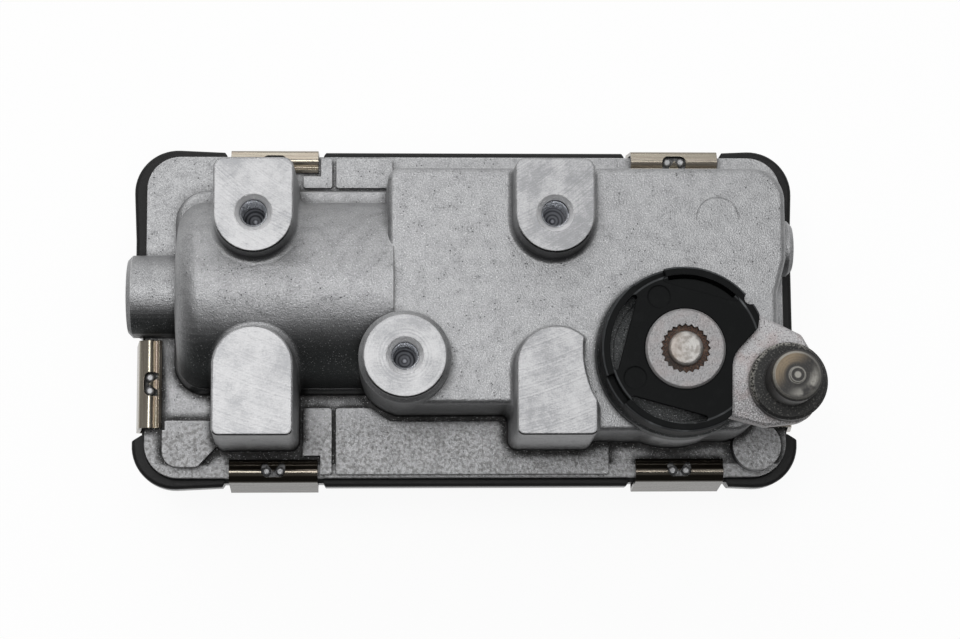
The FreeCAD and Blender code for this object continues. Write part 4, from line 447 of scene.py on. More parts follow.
    def flow_lines(self, g: Graph, coarse: Value) -> Value:
        """Thin irregular flow lines that the casting left."""
        flow = g.noise(0.22, 6.0, (0.8, 1.0, 1.0))
        return flow.band(0.5, 0.0022, 0.006) * coarse.ramp(0.46, 0.62)

    def shaded_and_dirtied(self, g: Graph, colour: Value, fine: Value, coarse: Value) -> Value:
        """Paints shade on the front slopes, a shadow under the disc and shade with dirt in the inner corners, and
        darkens the lower flange with mottling.

        Args:
            g: graph of the finish.
            colour: clean colour.
            fine: fine grain.
            coarse: coarse cloud.

        Returns:
            The colour with its painted shade and dirt.
        """
        front = g.facing(Way.Y) * -1.0
        shadow = g.around(self.shaft).ramp(self.shadow_radius, self.shadow_radius - 1.0) * g.z.ramp(*self.shadow_z)
        low = (g.y + coarse * 7.0 - 3.5).ramp(*self.mottled_y) * g.z.ramp(*self.mottled_z)
        blotch = g.noise(1.5, 5.0).ramp(0.40, 0.66)
        # Painted shade with dirt in the inner corners and along the seams of the lower flange, taken from how open
        # the surroundings are.
        open_sky = g.creases(self.corner_reach)
        corner_shade = open_sky.ramp(0.86, 0.30) * (1.0 - front.ramp(0.5, 0.9) * g.z.ramp(*self.wall_bare_z) * 0.8)
        near = 0.20 + g.y.ramp(*self.seam_near_y) * 0.80
        seam_shade = open_sky.ramp(0.95, 0.80) * g.z.ramp(*self.seam_z) * near * g.y.ramp(*self.seam_end_y)
        # Painted shadow line under the front edges of the machined faces.
        brink_shadow = g.z.band(self.machined_z - self.brink_shadow_drop, 0.08, 0.10)
        brink_shadow = brink_shadow * front.ramp(0.15, 0.5) * g.facing(Way.Z).ramp(0.9, 0.8)
        colour = g.mixed(self.front_walls(g, front), colour, self.shade)
        colour = g.mixed(front.ramp(0.32, 0.80) * self.chamber_wall(g) * 0.92, colour, self.deep_shade)
        colour = g.mixed(shadow * (0.70 + fine * 0.3), colour, self.deep_shade)
        colour = g.mixed(low * (0.10 + blotch * 0.62), colour, self.mottle)
        colour = g.mixed(corner_shade * (0.40 + fine * 0.5), colour, self.shade_and_grime)
        colour = g.mixed(brink_shadow * 0.9, colour, self.shade_and_grime)
        colour = g.mixed(seam_shade * (0.75 + coarse * 0.4), colour, self.shade_and_grime)
        return g.mixed(self.on_pegs(g), colour, self.light)

    def front_walls(self, g: Graph, front: Value) -> Value:
        """Mask of the walls that face the front, weaker low down and before the flange's edge."""
        wall = front.ramp(0.10, 0.80) * g.z.ramp(*self.wall_foot_z) * (0.35 + g.z.ramp(*self.wall_rise_z) * 0.50)
        return wall * (1.0 - g.y.ramp(*self.flange_front_y) * 0.75)

    def chamber_wall(self, g: Graph) -> Value:
        """Mask of the motor chamber's round wall and of the casing's left end.

        Args:
            g: graph of the finish.

        Returns:
            The mask, from 0 to 1.
        """
        across, above = g.y - self.chamber_axis[0], g.z - self.chamber_axis[1]
        chamber = across.hypotenuse(above).band(self.chamber_radius, 0.25, 0.3)
        chamber = chamber.either(g.x.ramp(*self.left_end_x) * g.z.ramp(*self.left_end_z))
        return chamber * g.x.ramp(self.chamber_end_x + 0.5, self.chamber_end_x)

    def on_pegs(self, g: Graph) -> Value:
        """Mask of the cast lumps that the clips catch on, which lie alike on opposite sides.

        Args:
            g: graph of the finish.

        Returns:
            The mask, from 0 to 1.
        """
        folded_x, folded_y = g.x.maths("ABSOLUTE"), g.y.maths("ABSOLUTE")
        reaches = [(g.x - x).hypotenuse(folded_y - y) for x, y in self.side_pegs]
        reaches += [(folded_x - x).hypotenuse(g.y - y) for x, y in self.end_pegs]
        return reduce(Value.either, [reach.ramp(*self.peg_rim) for reach in reaches]) * g.z.ramp(*self.peg_z)

    def in_bores(self, g: Graph) -> Value:
        """Mask of the three tapped holes below their mouths."""
        inside = reduce(Value.either, [g.around(hole).ramp(*self.bore_rim) for hole in self.holes])
        return inside * g.z.ramp(*self.bore_z)

    def bore_tint(self, g: Graph) -> Value:
        """Drilling rings on the holes' ends and walls.

        Args:
            g: graph of the finish.

        Returns:
            The colour.
        """
        tint = g.z.rings(3.0) * 0.2
        for hole in self.holes:
            away = g.around(hole)
            tint = tint + away.rings(9.5) * 0.5 * away.ramp(*self.bore_rim)
        return g.mixed(tint + 0.5, self.bore_shade, self.bore)

    def at_mouths(self, g: Graph) -> Value:
        """Mask of the countersunk mouths of the tapped holes."""
        mouths = [g.around(hole).band(self.mouth_radius, 0.40, 0.1) for hole in self.holes]
        return reduce(Value.either, mouths) * g.z.ramp(*self.mouth_z)

    def cutting_lines(self, g: Graph, coarse: Value) -> Value:
        """Milling lines on the machined faces: arcs on the pads and turned rings on the round boss.

        Args:
            g: graph of the finish.
            coarse: coarse cloud.

        Returns:
            The pattern, from 0 to 1.
        """
        turned = g.around(self.round_boss)
        on_round = turned.ramp(*self.round_boss_rim)
        reach = turned * on_round + g.around(self.milling_centre) * (1.0 - on_round)
        inputs = {"W": reach * 3.2, "Scale": 1.0, "Detail": 3.0}
        rings = g.value("ShaderNodeTexNoise", {"noise_dimensions": "1D"}, inputs)
        scratches = g.noise(2.6, 4.0, (0.30, 1.7, 1.0))
        specks = g.noise(3.6, 2.0)
        patches = g.noise(0.12, 3.0) * 0.8 + g.x.ramp(-8.0, 12.0) * 0.06
        return (rings * 0.28 + scratches * 0.26 + specks * 0.30 + coarse * 0.40 + patches).ramp(0.84, 1.26)


@dataclass(frozen=True)
class MouldedPlastic:
    """Black moulded plastic with a fine satin grain, smoother on its upright sides and lighter in rings where set,
    from wear and a painted highlight.
    """

    name: str
    colour: Colour = (0.0050, 0.0051, 0.0053)
    dust: Colour = (0.030, 0.028, 0.026)
    worn_and_highlit: Colour = (0.11, 0.115, 0.12)
    roughness: float = 0.44
    side_gloss: float = 0.0
    shine: float = 0.22
    grain_depth: float = 0.03
    soft_edge: float = 0.25
    centre: Spot = (0.0, 0.0)
    highlight_rings: tuple[float, ...] = ()

    def material(self) -> bpy.types.Material:
        """Builds the finish.

        Returns:
            The material.
        """
        g = Graph(self.name)
        grain = g.noise(4.5, 3.0)
        cloud = g.noise(0.35, 4.0).ramp(0.50, 0.78)
        up = g.facing(Way.Z)
        colour = g.mixed(cloud * 0.30 + grain * 0.12, self.colour, self.dust)
        # Lighter rings along the edges, from wear and a painted highlight on the upward faces.
        for radius in self.highlight_rings:
            ring = g.around(self.centre).band(radius, 0.10, 0.14) * up.ramp(0.2, 0.6)
            colour = g.mixed(ring * (0.35 + cloud * 0.6), colour, self.worn_and_highlit)
        normal = g.relief(grain, self.grain_depth, self.soft_edge)
        rough = self.roughness + grain * 0.18 - up.maths("ABSOLUTE").ramp(0.55, 0.25) * self.side_gloss
        return g.finish(base_color=colour, roughness=rough, normal=normal, specular_ior_level=self.shine)


@dataclass(frozen=True)
class ChromateSteel:
    """Worn chromated spring steel, tan-grey with brown and pink streaks along the bends, with a painted dark
    reflection above a height and painted shade with dirt in the creases.
    """

    name: str
    way: Way
    tan: Colour = (0.30, 0.275, 0.225)
    brown: Colour = (0.26, 0.225, 0.185)
    pink: Colour = (0.31, 0.262, 0.225)
    pale: Colour = (0.42, 0.40, 0.35)
    speck: Colour = (0.10, 0.085, 0.07)
    dark_reflection: Colour = (0.016, 0.013, 0.009)
    shade_and_grime: Colour = (0.02, 0.018, 0.015)
    metallic: float = 0.85
    roughness: float = 0.15
    grain_depth: float = 0.03
    soft_edge: float = 0.12
    corner_reach: float = 1.2
    streak_length: float = 20.0
    dark_reflection_above_z: float = 0.0
    sheen_y: float = -30.7

    def material(self) -> bpy.types.Material:
        """Builds the finish.

        Returns:
            The material.
        """
        g = Graph(self.name)
        stretch = tuple(1.0 / self.streak_length if axis == self.way.value else 1.0 for axis in range(3))
        streak = g.noise(2.2, 4.0, stretch)
        tint = g.noise(0.7, 2.0, stretch)
        stops = [(0.36, self.tan), (0.50, self.brown), (0.60, self.tan), (0.68, self.pink)]
        colour = g.value("ShaderNodeValToRGB", {"stops": stops}, {0: tint})
        colour = g.mixed(streak.ramp(0.48, 0.76) * 0.18, colour, self.pale)
        colour = g.mixed(g.noise(3.0, 2.0).ramp(0.58, 0.72) * 0.25, colour, self.speck)
        # Painted dark reflection above a height on the near clips, lightened along a painted sheen line.
        if self.dark_reflection_above_z > 0:
            up = g.facing(Way.Z)
            high = g.z.ramp(self.dark_reflection_above_z - 0.8, self.dark_reflection_above_z)
            sheen = g.y.band(self.sheen_y, 0.42, 0.35) * up.ramp(0.2, 0.6)
            colour = g.mixed(high * (1.0 - sheen * 0.55) * (0.78 + up.ramp(0.0, 0.5) * 0.17), colour, self.dark_reflection)
        # Painted shade with dirt in the creases.
        colour = g.mixed(g.creases(self.corner_reach).ramp(0.8, 0.2) * 0.8, colour, self.shade_and_grime)
        normal = g.relief(streak, self.grain_depth, self.soft_edge)
        rough = self.roughness + streak * 0.2
        return g.finish(base_color=colour, metallic=self.metallic, roughness=rough, normal=normal)


@dataclass(frozen=True)
class SinteredSteel:
    """Grainy sintered steel with dark pores, a brownish pink bloom on the arm and a darker hub."""

    light: Colour = (0.44, 0.435, 0.44)
    dull: Colour = (0.25, 0.24, 0.245)
    pore: Colour = (0.055, 0.045, 0.045)
    bloom: Colour = (0.34, 0.255, 0.24)
    worn_hub: Colour = (0.10, 0.098, 0.098)
    shade_and_grime: Colour = (0.025, 0.02, 0.018)
    metallic: float = 0.60
    roughness: float = 0.42
    grain_depth: float = 0.10
    soft_edge: float = 0.22
    corner_reach: float = 1.6
    centre: Spot = SHAFT_SPOT
    arm_start: Span = (7.95, 9.95)
    lower_y: Span = (-13.0, -22.0)

    def material(self) -> bpy.types.Material:
        """Builds the finish.

        Returns:
            The material.
        """
        g = Graph("sintered steel")
        grain = g.noise(3.4, 3.0)
        pores = g.cells(1.9).ramp(0.24, 0.10)
        patch = g.noise(0.3, 3.0).ramp(0.44, 0.66)
        arm = g.around(self.centre).ramp(*self.arm_start)
        lower = arm * g.y.ramp(*self.lower_y)
        colour = g.mixed(grain.ramp(0.36, 0.68) * (0.45 + arm * 0.35), self.light, self.dull)
        colour = g.mixed((1.0 - arm) * 0.45, colour, self.worn_hub)
        colour = g.mixed(patch * (0.15 + arm * 0.20), colour, self.bloom)
        colour = g.mixed(lower * grain.ramp(0.30, 0.60) * 0.65, colour, self.worn_hub)
        colour = g.mixed(pores * (0.15 + arm * 0.65), colour, self.pore)
        # Painted shade with dirt in the inner corners.
        colour = g.mixed(g.creases(self.corner_reach).ramp(0.85, 0.25) * 0.7, colour, self.shade_and_grime)
        normal = g.relief(grain * 0.8 - pores * 0.4, self.grain_depth, self.soft_edge)
        rough = self.roughness + grain * 0.2
        return g.finish(base_color=colour, metallic=self.metallic, roughness=rough, normal=normal)


@dataclass(frozen=True)
class ShaftSteel:
    """Turned shaft end: a dull bright dome with faint rings and a rusty serrated ring round it."""

    bright: Colour = (0.38, 0.37, 0.355)
    dull: Colour = (0.17, 0.155, 0.14)
    tan: Colour = (0.22, 0.17, 0.135)
    rust: Colour = (0.085, 0.040, 0.022)
    dark_rust: Colour = (0.018, 0.014, 0.012)
    pale_rust: Colour = (0.30, 0.22, 0.16)
    oil: Colour = (0.014, 0.018, 0.018)
    metallic: float = 0.25
    roughness: float = 0.60
    grain_depth: float = 0.10
    soft_edge: float = 0.15
    centre: Spot = SHAFT_SPOT
    dome_z: Span = (51.25, 51.5)
    left_side: Span = (1.0, -3.0)
    oiled_side: Span = (1.5, -4.0)

    def material(self) -> bpy.types.Material:
        """Builds the finish.

        Returns:
            The material.
        """
        g = Graph("shaft steel")
        dome = g.z.ramp(*self.dome_z)
        rings = g.around(self.centre).rings(7.0) * 0.5 + 0.5
        patches = g.noise(0.8, 4.0)
        grain = g.noise(3.5, 4.0)
        left = (g.x - self.centre[0]).ramp(*self.left_side)
        oiled = (g.y - self.centre[1]).ramp(*self.oiled_side) * left
        polished = g.mixed((rings * 0.08 + patches * 0.92).ramp(0.38, 0.68) * 0.8, self.bright, self.dull)
        polished = g.mixed(left * 0.5, polished, self.tan)
        rusty = g.mixed(grain.ramp(0.38, 0.62), self.rust, self.dark_rust)
        rusty = g.mixed(oiled * 0.7, rusty, self.oil)
        rusty = g.mixed(patches.ramp(0.56, 0.75) * 0.45, rusty, self.pale_rust)
        colour = g.mixed(dome, rusty, polished)
        normal = g.relief(grain * (1.0 - dome * 0.6), self.grain_depth, self.soft_edge)
        rough = self.roughness - dome * 0.20 + grain * 0.12
        return g.finish(base_color=colour, metallic=self.metallic + dome * 0.5, roughness=rough, normal=normal)


@dataclass(frozen=True)
class OiledSteel:
    """Dark oiled link stud: lighter along its edges from wear and painted highlights, with a painted bronze sheen
    and painted glare on its face and a grainy flange.
    """

    dark: Colour = (0.022, 0.021, 0.020)
    worn_and_highlit: Colour = (0.34, 0.33, 0.30)
    bronze: Colour = (0.24, 0.185, 0.12)
    speck: Colour = (0.09, 0.08, 0.065)
    flange_dark: Colour = (0.009, 0.009, 0.0085)
    flange_light: Colour = (0.08, 0.078, 0.072)
    metallic: float = 0.45
    roughness: float = 0.36
    grain_depth: float = 0.06
    soft_edge: float = 0.15
    centre: Spot = (58.326, -16.349)
    pin_z: Span = (53.4, 53.8)
    pin_radius: float = 4.75
    flange_radius: float = 7.2
    nub_radius: float = 1.4
    dimple: Span = (0.75, 0.45)

    def material(self) -> bpy.types.Material:
        """Builds the finish.

        Returns:
            The material.
        """
        g = Graph("oiled steel")
        away = g.around(self.centre)
        east = g.x - self.centre[0]
        north = g.y - self.centre[1]
        upper_left = (north - east).ramp(0.0, 5.0)
        grain = g.noise(2.8, 4.0)
        cloud = g.noise(0.28, 3.0)
        rings = away.rings(13.0) * 0.5 + 0.5
        pin = g.z.ramp(*self.pin_z)
        # Painted bronze sheen on the upper left of the pin's face.
        sheen_crescent = away.band(self.pin_radius - 1.5, 0.5, 0.9) * upper_left * (0.6 + cloud * 0.6)
        face = g.mixed(sheen_crescent * (0.75 + rings * 0.15), self.dark, self.bronze)
        glare = (east - north).ramp(0.5, 5.0) * away.band(self.pin_radius - 1.7, 0.3, 0.9) * cloud.ramp(0.40, 0.56)
        face = g.mixed(glare * 0.7, face, self.worn_and_highlit)
        face = g.mixed(grain.ramp(0.52, 0.68) * 0.35, face, self.speck)
        # Lighter centre, from wear and a painted highlight.
        face = g.mixed(away.ramp(*self.dimple) * 0.7, face, self.worn_and_highlit)
        flange = g.mixed(grain.ramp(0.54, 0.70), self.flange_dark, self.flange_light)
        colour = g.mixed(pin, flange, face)
        # Edges made lighter by wear and painted highlights, stronger on the upper left.
        rim = away.band(self.pin_radius - 0.55, 0.10, 0.20) * pin * (0.45 + upper_left * 0.5)
        outer = away.ramp(self.flange_radius - 0.9, self.flange_radius - 0.2) * (1.0 - pin) * upper_left
        nub = away.band(self.nub_radius, 0.1, 0.18) * pin * 0.8
        edges = rim.either(nub).either(outer * grain.ramp(0.40, 0.58)) * (0.35 + grain * 0.7)
        colour = g.mixed(edges, colour, self.worn_and_highlit)
        normal = g.relief(grain * 0.6 + rings * 0.10, self.grain_depth, self.soft_edge)
        rough = self.roughness + grain * 0.22
        return g.finish(base_color=colour, metallic=self.metallic, roughness=rough, normal=normal)


@dataclass(frozen=True)
class PlainFinish:
    """One colour with grain and slight unevenness, for the thread ridges and the pieces inside the casing."""

    name: str
    colour: Colour
    metallic: float
    roughness: float
    darkening: float = 0.62
    grain_depth: float = 0.02
    soft_edge: float = 0.1

    def material(self) -> bpy.types.Material:
        """Builds the finish.

        Returns:
            The material.
        """
        g = Graph(self.name)
        grain = g.noise(3.0, 3.0)
        cloud = g.noise(0.4, 3.0).ramp(0.35, 0.75)
        darker = tuple(part * self.darkening for part in self.colour)
        colour = g.mixed(cloud * 0.6 + grain * 0.2, self.colour, darker)
        normal = g.relief(grain, self.grain_depth, self.soft_edge)
        rough = self.roughness + grain * 0.15 - 0.07
        return g.finish(base_color=colour, metallic=self.metallic, roughness=rough, normal=normal)


COVER_PLASTIC = MouldedPlastic("cover plastic", side_gloss=0.26)
DISC_PLASTIC = MouldedPlastic(
    "disc plastic",
    colour=(0.0035, 0.0040, 0.0042),
    dust=(0.010, 0.011, 0.011),
    shine=0.07,
    soft_edge=0.34,
    centre=SHAFT_SPOT,
    highlight_rings=(15.25, 13.75),
)
THREAD_ALUMINIUM = PlainFinish("thread aluminium", (0.80, 0.82, 0.86), 0.75, 0.28)
INNER_FINISHES: dict[str, PlainFinish | MouldedPlastic] = {
    "black_plastic": MouldedPlastic("inner black_plastic"),
    "rubber": PlainFinish("rubber", (0.02, 0.02, 0.02), 0.0, 0.7),
    "green_board": PlainFinish("green board", (0.05, 0.22, 0.10), 0.0, 0.4),
    "chip_plastic": PlainFinish("chip plastic", (0.03, 0.03, 0.03), 0.0, 0.5),
    "can_aluminium": PlainFinish("can aluminium", (0.70, 0.70, 0.70), 0.9, 0.35),
    "gold_contact": PlainFinish("gold contact", (0.78, 0.62, 0.30), 1.0, 0.3),
    "zinc_steel": PlainFinish("zinc steel", (0.50, 0.50, 0.49), 0.9, 0.38),
    "dark_magnet": PlainFinish("dark magnet", (0.13, 0.13, 0.14), 0.3, 0.55),
    "carbon": PlainFinish("carbon", (0.07, 0.07, 0.07), 0.0, 0.6),
    "copper": PlainFinish("copper", (0.72, 0.42, 0.25), 1.0, 0.35),
    "bronze": PlainFinish("bronze", (0.60, 0.44, 0.24), 0.9, 0.42),
    "white_plastic": PlainFinish("white plastic", (0.78, 0.76, 0.70), 0.0, 0.45),
    "bright_steel": PlainFinish("bright steel", (0.62, 0.62, 0.62), 1.0, 0.3),
}


def deselect() -> None:
    """Leaves edit mode and deselects everything."""
    if bpy.context.object and bpy.context.object.mode != "OBJECT":
        bpy.ops.object.mode_set(mode="OBJECT")
    bpy.ops.object.select_all(action="DESELECT")


def pick(piece: bpy.types.Object) -> None:
    """Makes one object the only selected and active one.

    Args:
        piece: object to pick.
    """
    deselect()
    piece.select_set(True)
    bpy.context.view_layer.objects.active = piece


def edit(piece: bpy.types.Object, work: Callable[[], None]) -> None:
    """Runs operators in edit mode on the whole mesh of an object.

    Args:
        piece: object to edit.
        work: function that calls the operators.
    """
    pick(piece)
    bpy.ops.object.mode_set(mode="EDIT")
    bpy.ops.mesh.select_all(action="SELECT")
    work()
    bpy.ops.object.mode_set(mode="OBJECT")


def paint(piece: bpy.types.Object, material: bpy.types.Material) -> None:
    """Gives an object its only material and reports it.

    Args:
        piece: object to paint.
        material: its finish.
    """
    piece.data.materials.clear()
    piece.data.materials.append(material)
    LOG.info("%s: %s, %d faces", piece.name, material.name, len(piece.data.polygons))


def dress(piece: bpy.types.Object, material: bpy.types.Material) -> None:
    """Paints a piece of the scene's own."""
    paint(piece, material)


def smooth_copy(node: bpy.types.Object, name: str, degrees: float) -> bpy.types.Object:
    """Copy of a construction node with joined triangles and smooth curved faces.

    Args:
        node: construction node.
        name: name of the copy.
        degrees: angle above which an edge stays sharp.

    Returns:
        The copy, which stands for the node.
    """
    copy = node.copy()
    copy.data = node.data.copy()
    copy.name = name
    body = copy["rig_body"]
    source = copy["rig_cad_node"]
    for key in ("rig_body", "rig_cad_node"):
        del copy[key]
    copy.parent = None
    bpy.context.scene.collection.objects.link(copy)
    pick(copy)
    bpy.ops.mesh.customdata_custom_splitnormals_clear()
    edit(copy, lambda: bpy.ops.mesh.remove_doubles(threshold=0.001 * MM))
    bpy.ops.object.shade_smooth_by_angle(angle=math.radians(degrees))
    weighted = copy.modifiers.new("weighted", "WEIGHTED_NORMAL")
    weighted.mode = "FACE_AREA"
    weighted.weight = 100
    weighted.keep_sharp = True
    bpy.ops.object.modifier_apply(modifier=weighted.name)
    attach(copy, body)
    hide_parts(source)
    return copy


@dataclass
class Casing:
    """Cast housing and plastic cover with the neck of its plug socket."""

    nodes: dict[str, bpy.types.Object]
    smooth: float = 24.0

    def build(self) -> None:
        """Builds and dresses the casing."""
        housing = smooth_copy(self.nodes["housing"], "cast_housing", self.smooth)
        dress(housing, CastAluminium().material())
        cover = smooth_copy(self.nodes["cover"], "moulded_cover", self.smooth)
        plastic = COVER_PLASTIC.material()
        dress(cover, plastic)
        SocketNeck().build(plastic)


@dataclass
class SocketNeck:
    """Web of the cover that closes the slit between its deep part and the plug socket."""

    x: Span = (39.6, 42.6)
    z: Span = (0.8, 12.2)
    half_width: float = 12.3
    wall: float = 1.2

    def build(self, material: bpy.types.Material) -> None:
        """Builds the floor and the two cheeks of the neck as one piece.

        Args:
            material: finish of the cover.
        """
        reach, low = self.half_width, self.z[0]
        slabs = [((-reach, reach), (low, low + self.wall)), ((-reach, self.wall - reach), self.z),
                 ((reach - self.wall, reach), self.z)]
        deselect()
        parts = [self.slab(*slab) for slab in slabs]
        for part in parts:
            part.select_set(True)
        bpy.context.view_layer.objects.active = parts[0]
        bpy.ops.object.join()
        neck = bpy.context.object
        neck.name = "socket_neck"
        dress(neck, material)
        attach(neck, "casing")

    def slab(self, across: Span, upright: Span) -> bpy.types.Object:
        """Builds one box of the neck.

        Args:
            across: reach in y.
            upright: reach in z.

        Returns:
            The box.
        """
        bpy.ops.mesh.primitive_cube_add(size=1.0, location=(0, 0, 0))
        spans = (self.x, across, upright)
        scale = Matrix.Diagonal([(high - low) * MM for low, high in spans] + [1.0])
        centre = Vector([(high + low) / 2 * MM for low, high in spans])
        bpy.context.object.data.transform(Matrix.Translation(centre) @ scale)
        return bpy.context.object


@dataclass
class TappedThreads:
    """Thread ridges inside the three tapped holes."""

    holes: tuple[Spot, ...] = HOLE_SPOTS
    depths: tuple[float, ...] = (9.0, 7.6, 7.2)
    face_z: float = MACHINED_Z
    mouth: float = 1.0
    top_gap: float = 0.15
    run_out: float = 0.6
    wall_radius: float = 2.5
    crest_radius: float = 2.27
    bury: float = 0.04
    pitch: float = 1.0
    crest_width: float = 0.06
    root_width: float = 0.42
    steps: int = 40
    smooth: float = 35.0

    def build(self, material: bpy.types.Material) -> None:
        """Cuts one ridge for each hole.

        Args:
            material: finish of the threads.
        """
        for number, (hole, depth) in enumerate(zip(self.holes, self.depths), start=1):
            ridge = self.ridge(f"thread_{number}", hole, depth - self.mouth - self.run_out)
            dress(ridge, material)
            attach(ridge, "casing")

    def ridge(self, name: str, hole: Spot, length: float) -> bpy.types.Object:
        """Models one helical ridge.

        Args:
            name: name of the piece.
            hole: place of the hole.
            length: threaded length.

        Returns:
            The ridge.
        """
        deselect()
        turns = int(length / self.pitch)
        start = self.face_z - self.mouth - self.top_gap - turns * self.pitch
        bpy.ops.mesh.primitive_plane_add(size=1.0, location=(0, 0, 0))
        ridge = bpy.context.object
        ridge.name = name
        for vertex in ridge.data.vertices:
            inner = vertex.co.x < 0
            width = self.pitch * (self.crest_width if inner else self.root_width)
            radial = self.crest_radius if inner else self.wall_radius + self.bury
            vertex.co = (radial * MM, 0.0, math.copysign(width, vertex.co.y) * MM)
        screw = ridge.modifiers.new("turns", "SCREW")
        screw.axis = "Z"
        screw.angle = math.tau
        screw.screw_offset = self.pitch * MM
        screw.iterations = turns
        screw.steps = self.steps
        screw.render_steps = self.steps
        screw.use_merge_vertices = True
        screw.merge_threshold = 0.0001 * MM
        pick(ridge)
        bpy.ops.object.modifier_apply(modifier=screw.name)
        ridge.data.transform(Matrix.Translation((hole[0] * MM, hole[1] * MM, start * MM)))
        edit(ridge, lambda: bpy.ops.mesh.normals_make_consistent(inside=False))
        bpy.ops.object.shade_smooth_by_angle(angle=math.radians(self.smooth))
        return ridge


@dataclass
class SpringClips:
    """Six chromated spring clips."""

    nodes: dict[str, bpy.types.Object]
    far_side: tuple[str, ...] = ("clip_top_left", "clip_top_right")
    near_side: tuple[str, ...] = ("clip_bottom_left", "clip_bottom_right")
    ends: tuple[str, ...] = ("clip_left", "clip_right")
    dark_reflection_above_z: float = 13.6
    smooth: float = 30.0

    def build(self) -> None:
        """Dresses the clips with streaks along their bends; those on the near side get a painted dark reflection
        above a height.
        """
        finishes = {
            self.far_side: ChromateSteel("chromate far side", Way.X),
            self.near_side: ChromateSteel("chromate near side", Way.X, dark_reflection_above_z=self.dark_reflection_above_z),
            self.ends: ChromateSteel("chromate ends", Way.Y),
        }
        for names, finish in finishes.items():
            material = finish.material()
            for name in names:
                dress(smooth_copy(self.nodes[name], f"spring_{name}", self.smooth), material)


@dataclass
class Lever:
    """Shaft end, sintered lever, plastic disc and link stud."""

    nodes: dict[str, bpy.types.Object]
    smooth_arm: float = 28.0
    smooth_shaft: float = 24.0
    smooth_stud: float = 30.0

    def build(self) -> None:
        """Dresses what turns with the output shaft and shows outside."""
        arm = smooth_copy(self.nodes["lever_arm"], "sintered_lever", self.smooth_arm)
        dress(arm, SinteredSteel().material())
        disc = smooth_copy(self.nodes["lever_disc"], "slotted_disc", self.smooth_arm)
        dress(disc, DISC_PLASTIC.material())
        shaft = smooth_copy(self.nodes["output_shaft"], "shaft_end", self.smooth_shaft)
        dress(shaft, ShaftSteel().material())
        stud = smooth_copy(self.nodes["link_stud"], "riveted_stud", self.smooth_stud)
        dress(stud, OiledSteel().material())


@dataclass
class Insides:
    """Everything inside the casing, which keeps the shapes of the construction model."""

    nodes: dict[str, bpy.types.Object]
    slots: dict[str, str]
    shown: tuple[str, ...] = ("housing", "cover", "lever_arm", "lever_disc", "output_shaft", "link_stud")

    def build(self) -> None:
        """Gives each inner node the finish of its slot."""
        materials: dict[str, bpy.types.Material] = {}
        for name, node in self.nodes.items():
            if name in self.shown or name.startswith("clip_"):
                continue
            slot = self.slots[name]
            if slot not in materials:
                materials[slot] = INNER_FINISHES[slot].material()
            paint(node, materials[slot])


@dataclass(frozen=True)
class SoftLamp:
    """Area lamp that faces the object, with its place and size in metres and its power in watts."""

    name: str
    place: Point
    size: tuple[float, float]
    power: float

    def build(self) -> None:
        """Adds the lamp to the scene."""
        data = bpy.data.lights.new(self.name, "AREA")
        data.shape = "RECTANGLE"
        data.size, data.size_y = self.size
        data.energy = self.power
        lamp = bpy.data.objects.new(self.name, data)
        bpy.context.scene.collection.objects.link(lamp)
        lamp.location = self.place
        lamp.rotation_euler = (-Vector(self.place)).to_track_quat("-Z", "Y").to_euler()


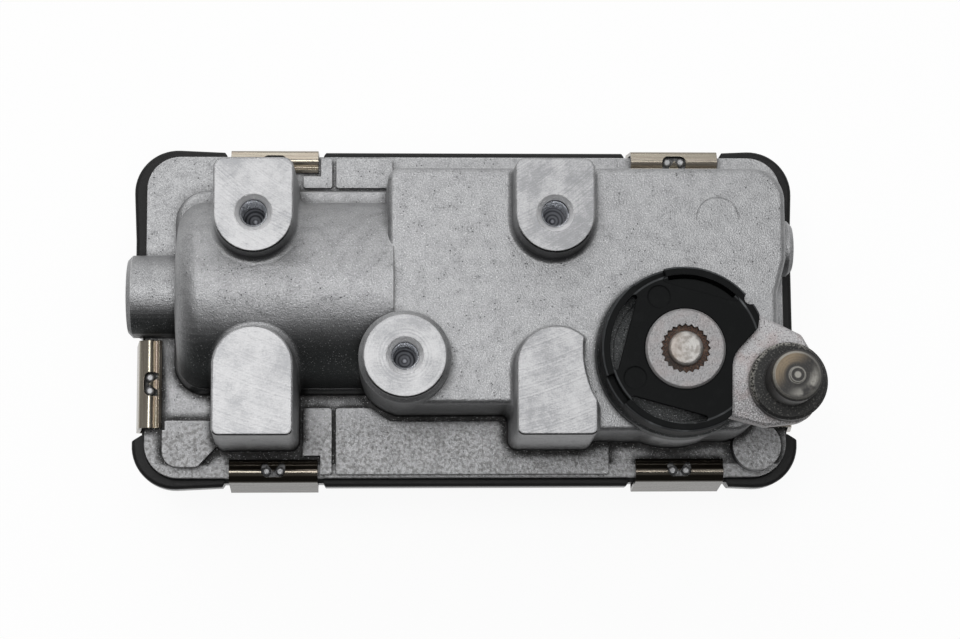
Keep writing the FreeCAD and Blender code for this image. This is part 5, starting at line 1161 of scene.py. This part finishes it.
@dataclass
class Studio:
    """Floor, surroundings, soft lamps and camera, with their sizes in metres."""

    floor_colour: Colour = (0.90, 0.90, 0.90)
    floor_roughness: float = 0.9
    floor_glow: float = 0.93
    floor_size: float = 8.0
    floor_z: float = -0.00005
    far_level: float = 0.70
    near_level: float = 0.10
    near_end: float = -0.25
    far_end: float = 0.55
    lamps: tuple[SoftLamp, ...] = (
        SoftLamp("overhead box", (-0.05, 0.16, 0.95), (0.70, 0.22), 1.5),
        SoftLamp("front box", (-0.08, -0.055, 0.95), (0.80, 0.10), 3.4),
        SoftLamp("far box", (-0.25, 1.00, 0.65), (0.9, 0.6), 3.5),
    )
    lens: float = 93.75
    sensor_width: float = 36.0
    clip_start: float = 0.01
    camera_place: Point = (-0.01873, -0.07211, 0.50603)
    camera_turn: tuple[Point, Point, Point] = (
        (0.99903, 0.0, -0.04398),
        (-0.00644, 0.98921, -0.14636),
        (0.0435, 0.1465, 0.98825),
    )

    def build(self) -> None:
        """Sets the stage round the object."""
        self.floor()
        self.world()
        for lamp in self.lamps:
            lamp.build()
        self.camera()
        bpy.context.scene.view_settings.view_transform = "Standard"

    def floor(self) -> None:
        """Adds a plain pale floor that keeps a soft shadow."""
        deselect()
        bpy.ops.mesh.primitive_plane_add(size=self.floor_size, location=(0, 0, self.floor_z))
        plane = bpy.context.object
        plane.name = "studio_floor"
        graph = Graph("studio floor")
        graph.finish(base_color=self.floor_colour, roughness=self.floor_roughness)
        path = graph.node("ShaderNodeLightPath", {}, {})
        rays = ("Is Camera Ray", "Is Glossy Ray", "Is Transmission Ray")
        seen = reduce(Value.either, [Value(graph, path.outputs[ray]) for ray in rays])
        glow = graph.value("ShaderNodeEmission", {}, {"Color": WHITE, "Strength": 1.0})
        inputs = {0: seen * self.floor_glow, 1: Value(graph, graph.shader.outputs[0]), 2: glow}
        graph.feed(graph.output.inputs["Surface"], graph.value("ShaderNodeMixShader", {}, inputs))
        plane.data.materials.append(graph.material)

    def world(self) -> None:
        """Fills the surroundings with soft light that falls off towards -Y."""
        world = bpy.data.worlds.new("studio")
        bpy.context.scene.world = world
        world.use_nodes = True
        sky = NodeTree(world.node_tree)
        place = sky.value("ShaderNodeTexCoord", {}, {}, "Generated")
        ends = {"From Min": self.near_end, "From Max": self.far_end, "To Min": self.near_level,
                "To Max": self.far_level}
        inputs = {"Value": sky.split(place)[Way.Y.value], **ends}
        level = sky.value("ShaderNodeMapRange", {"interpolation_type": "SMOOTHSTEP"}, inputs)
        backdrop = world.node_tree.nodes["Background"]
        sky.feed(backdrop.inputs["Color"], WHITE)
        sky.feed(backdrop.inputs["Strength"], level)

    def camera(self) -> None:
        """Places the camera at the photograph's viewing angle."""
        data = bpy.data.cameras.new("camera")
        data.lens = self.lens
        data.sensor_width = self.sensor_width
        data.clip_start = self.clip_start
        camera = bpy.data.objects.new("camera", data)
        bpy.context.scene.collection.objects.link(camera)
        camera.matrix_world = Matrix.Translation(self.camera_place) @ Matrix(self.camera_turn).to_4x4()
        bpy.context.scene.camera = camera


def main() -> None:
    """Builds the looks of the actuator over the construction model."""
    logging.basicConfig(level=logging.INFO, format="%(message)s")
    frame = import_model()
    nodes = frame["nodes"]
    slots = {part["node"]: part["material_slot"] for part in frame["record"]["subparts"]}
    Casing(nodes).build()
    TappedThreads().build(THREAD_ALUMINIUM.material())
    SpringClips(nodes).build()
    Lever(nodes).build()
    Insides(nodes, slots).build()
    Studio().build()


if __name__ == "__main__":
    main()
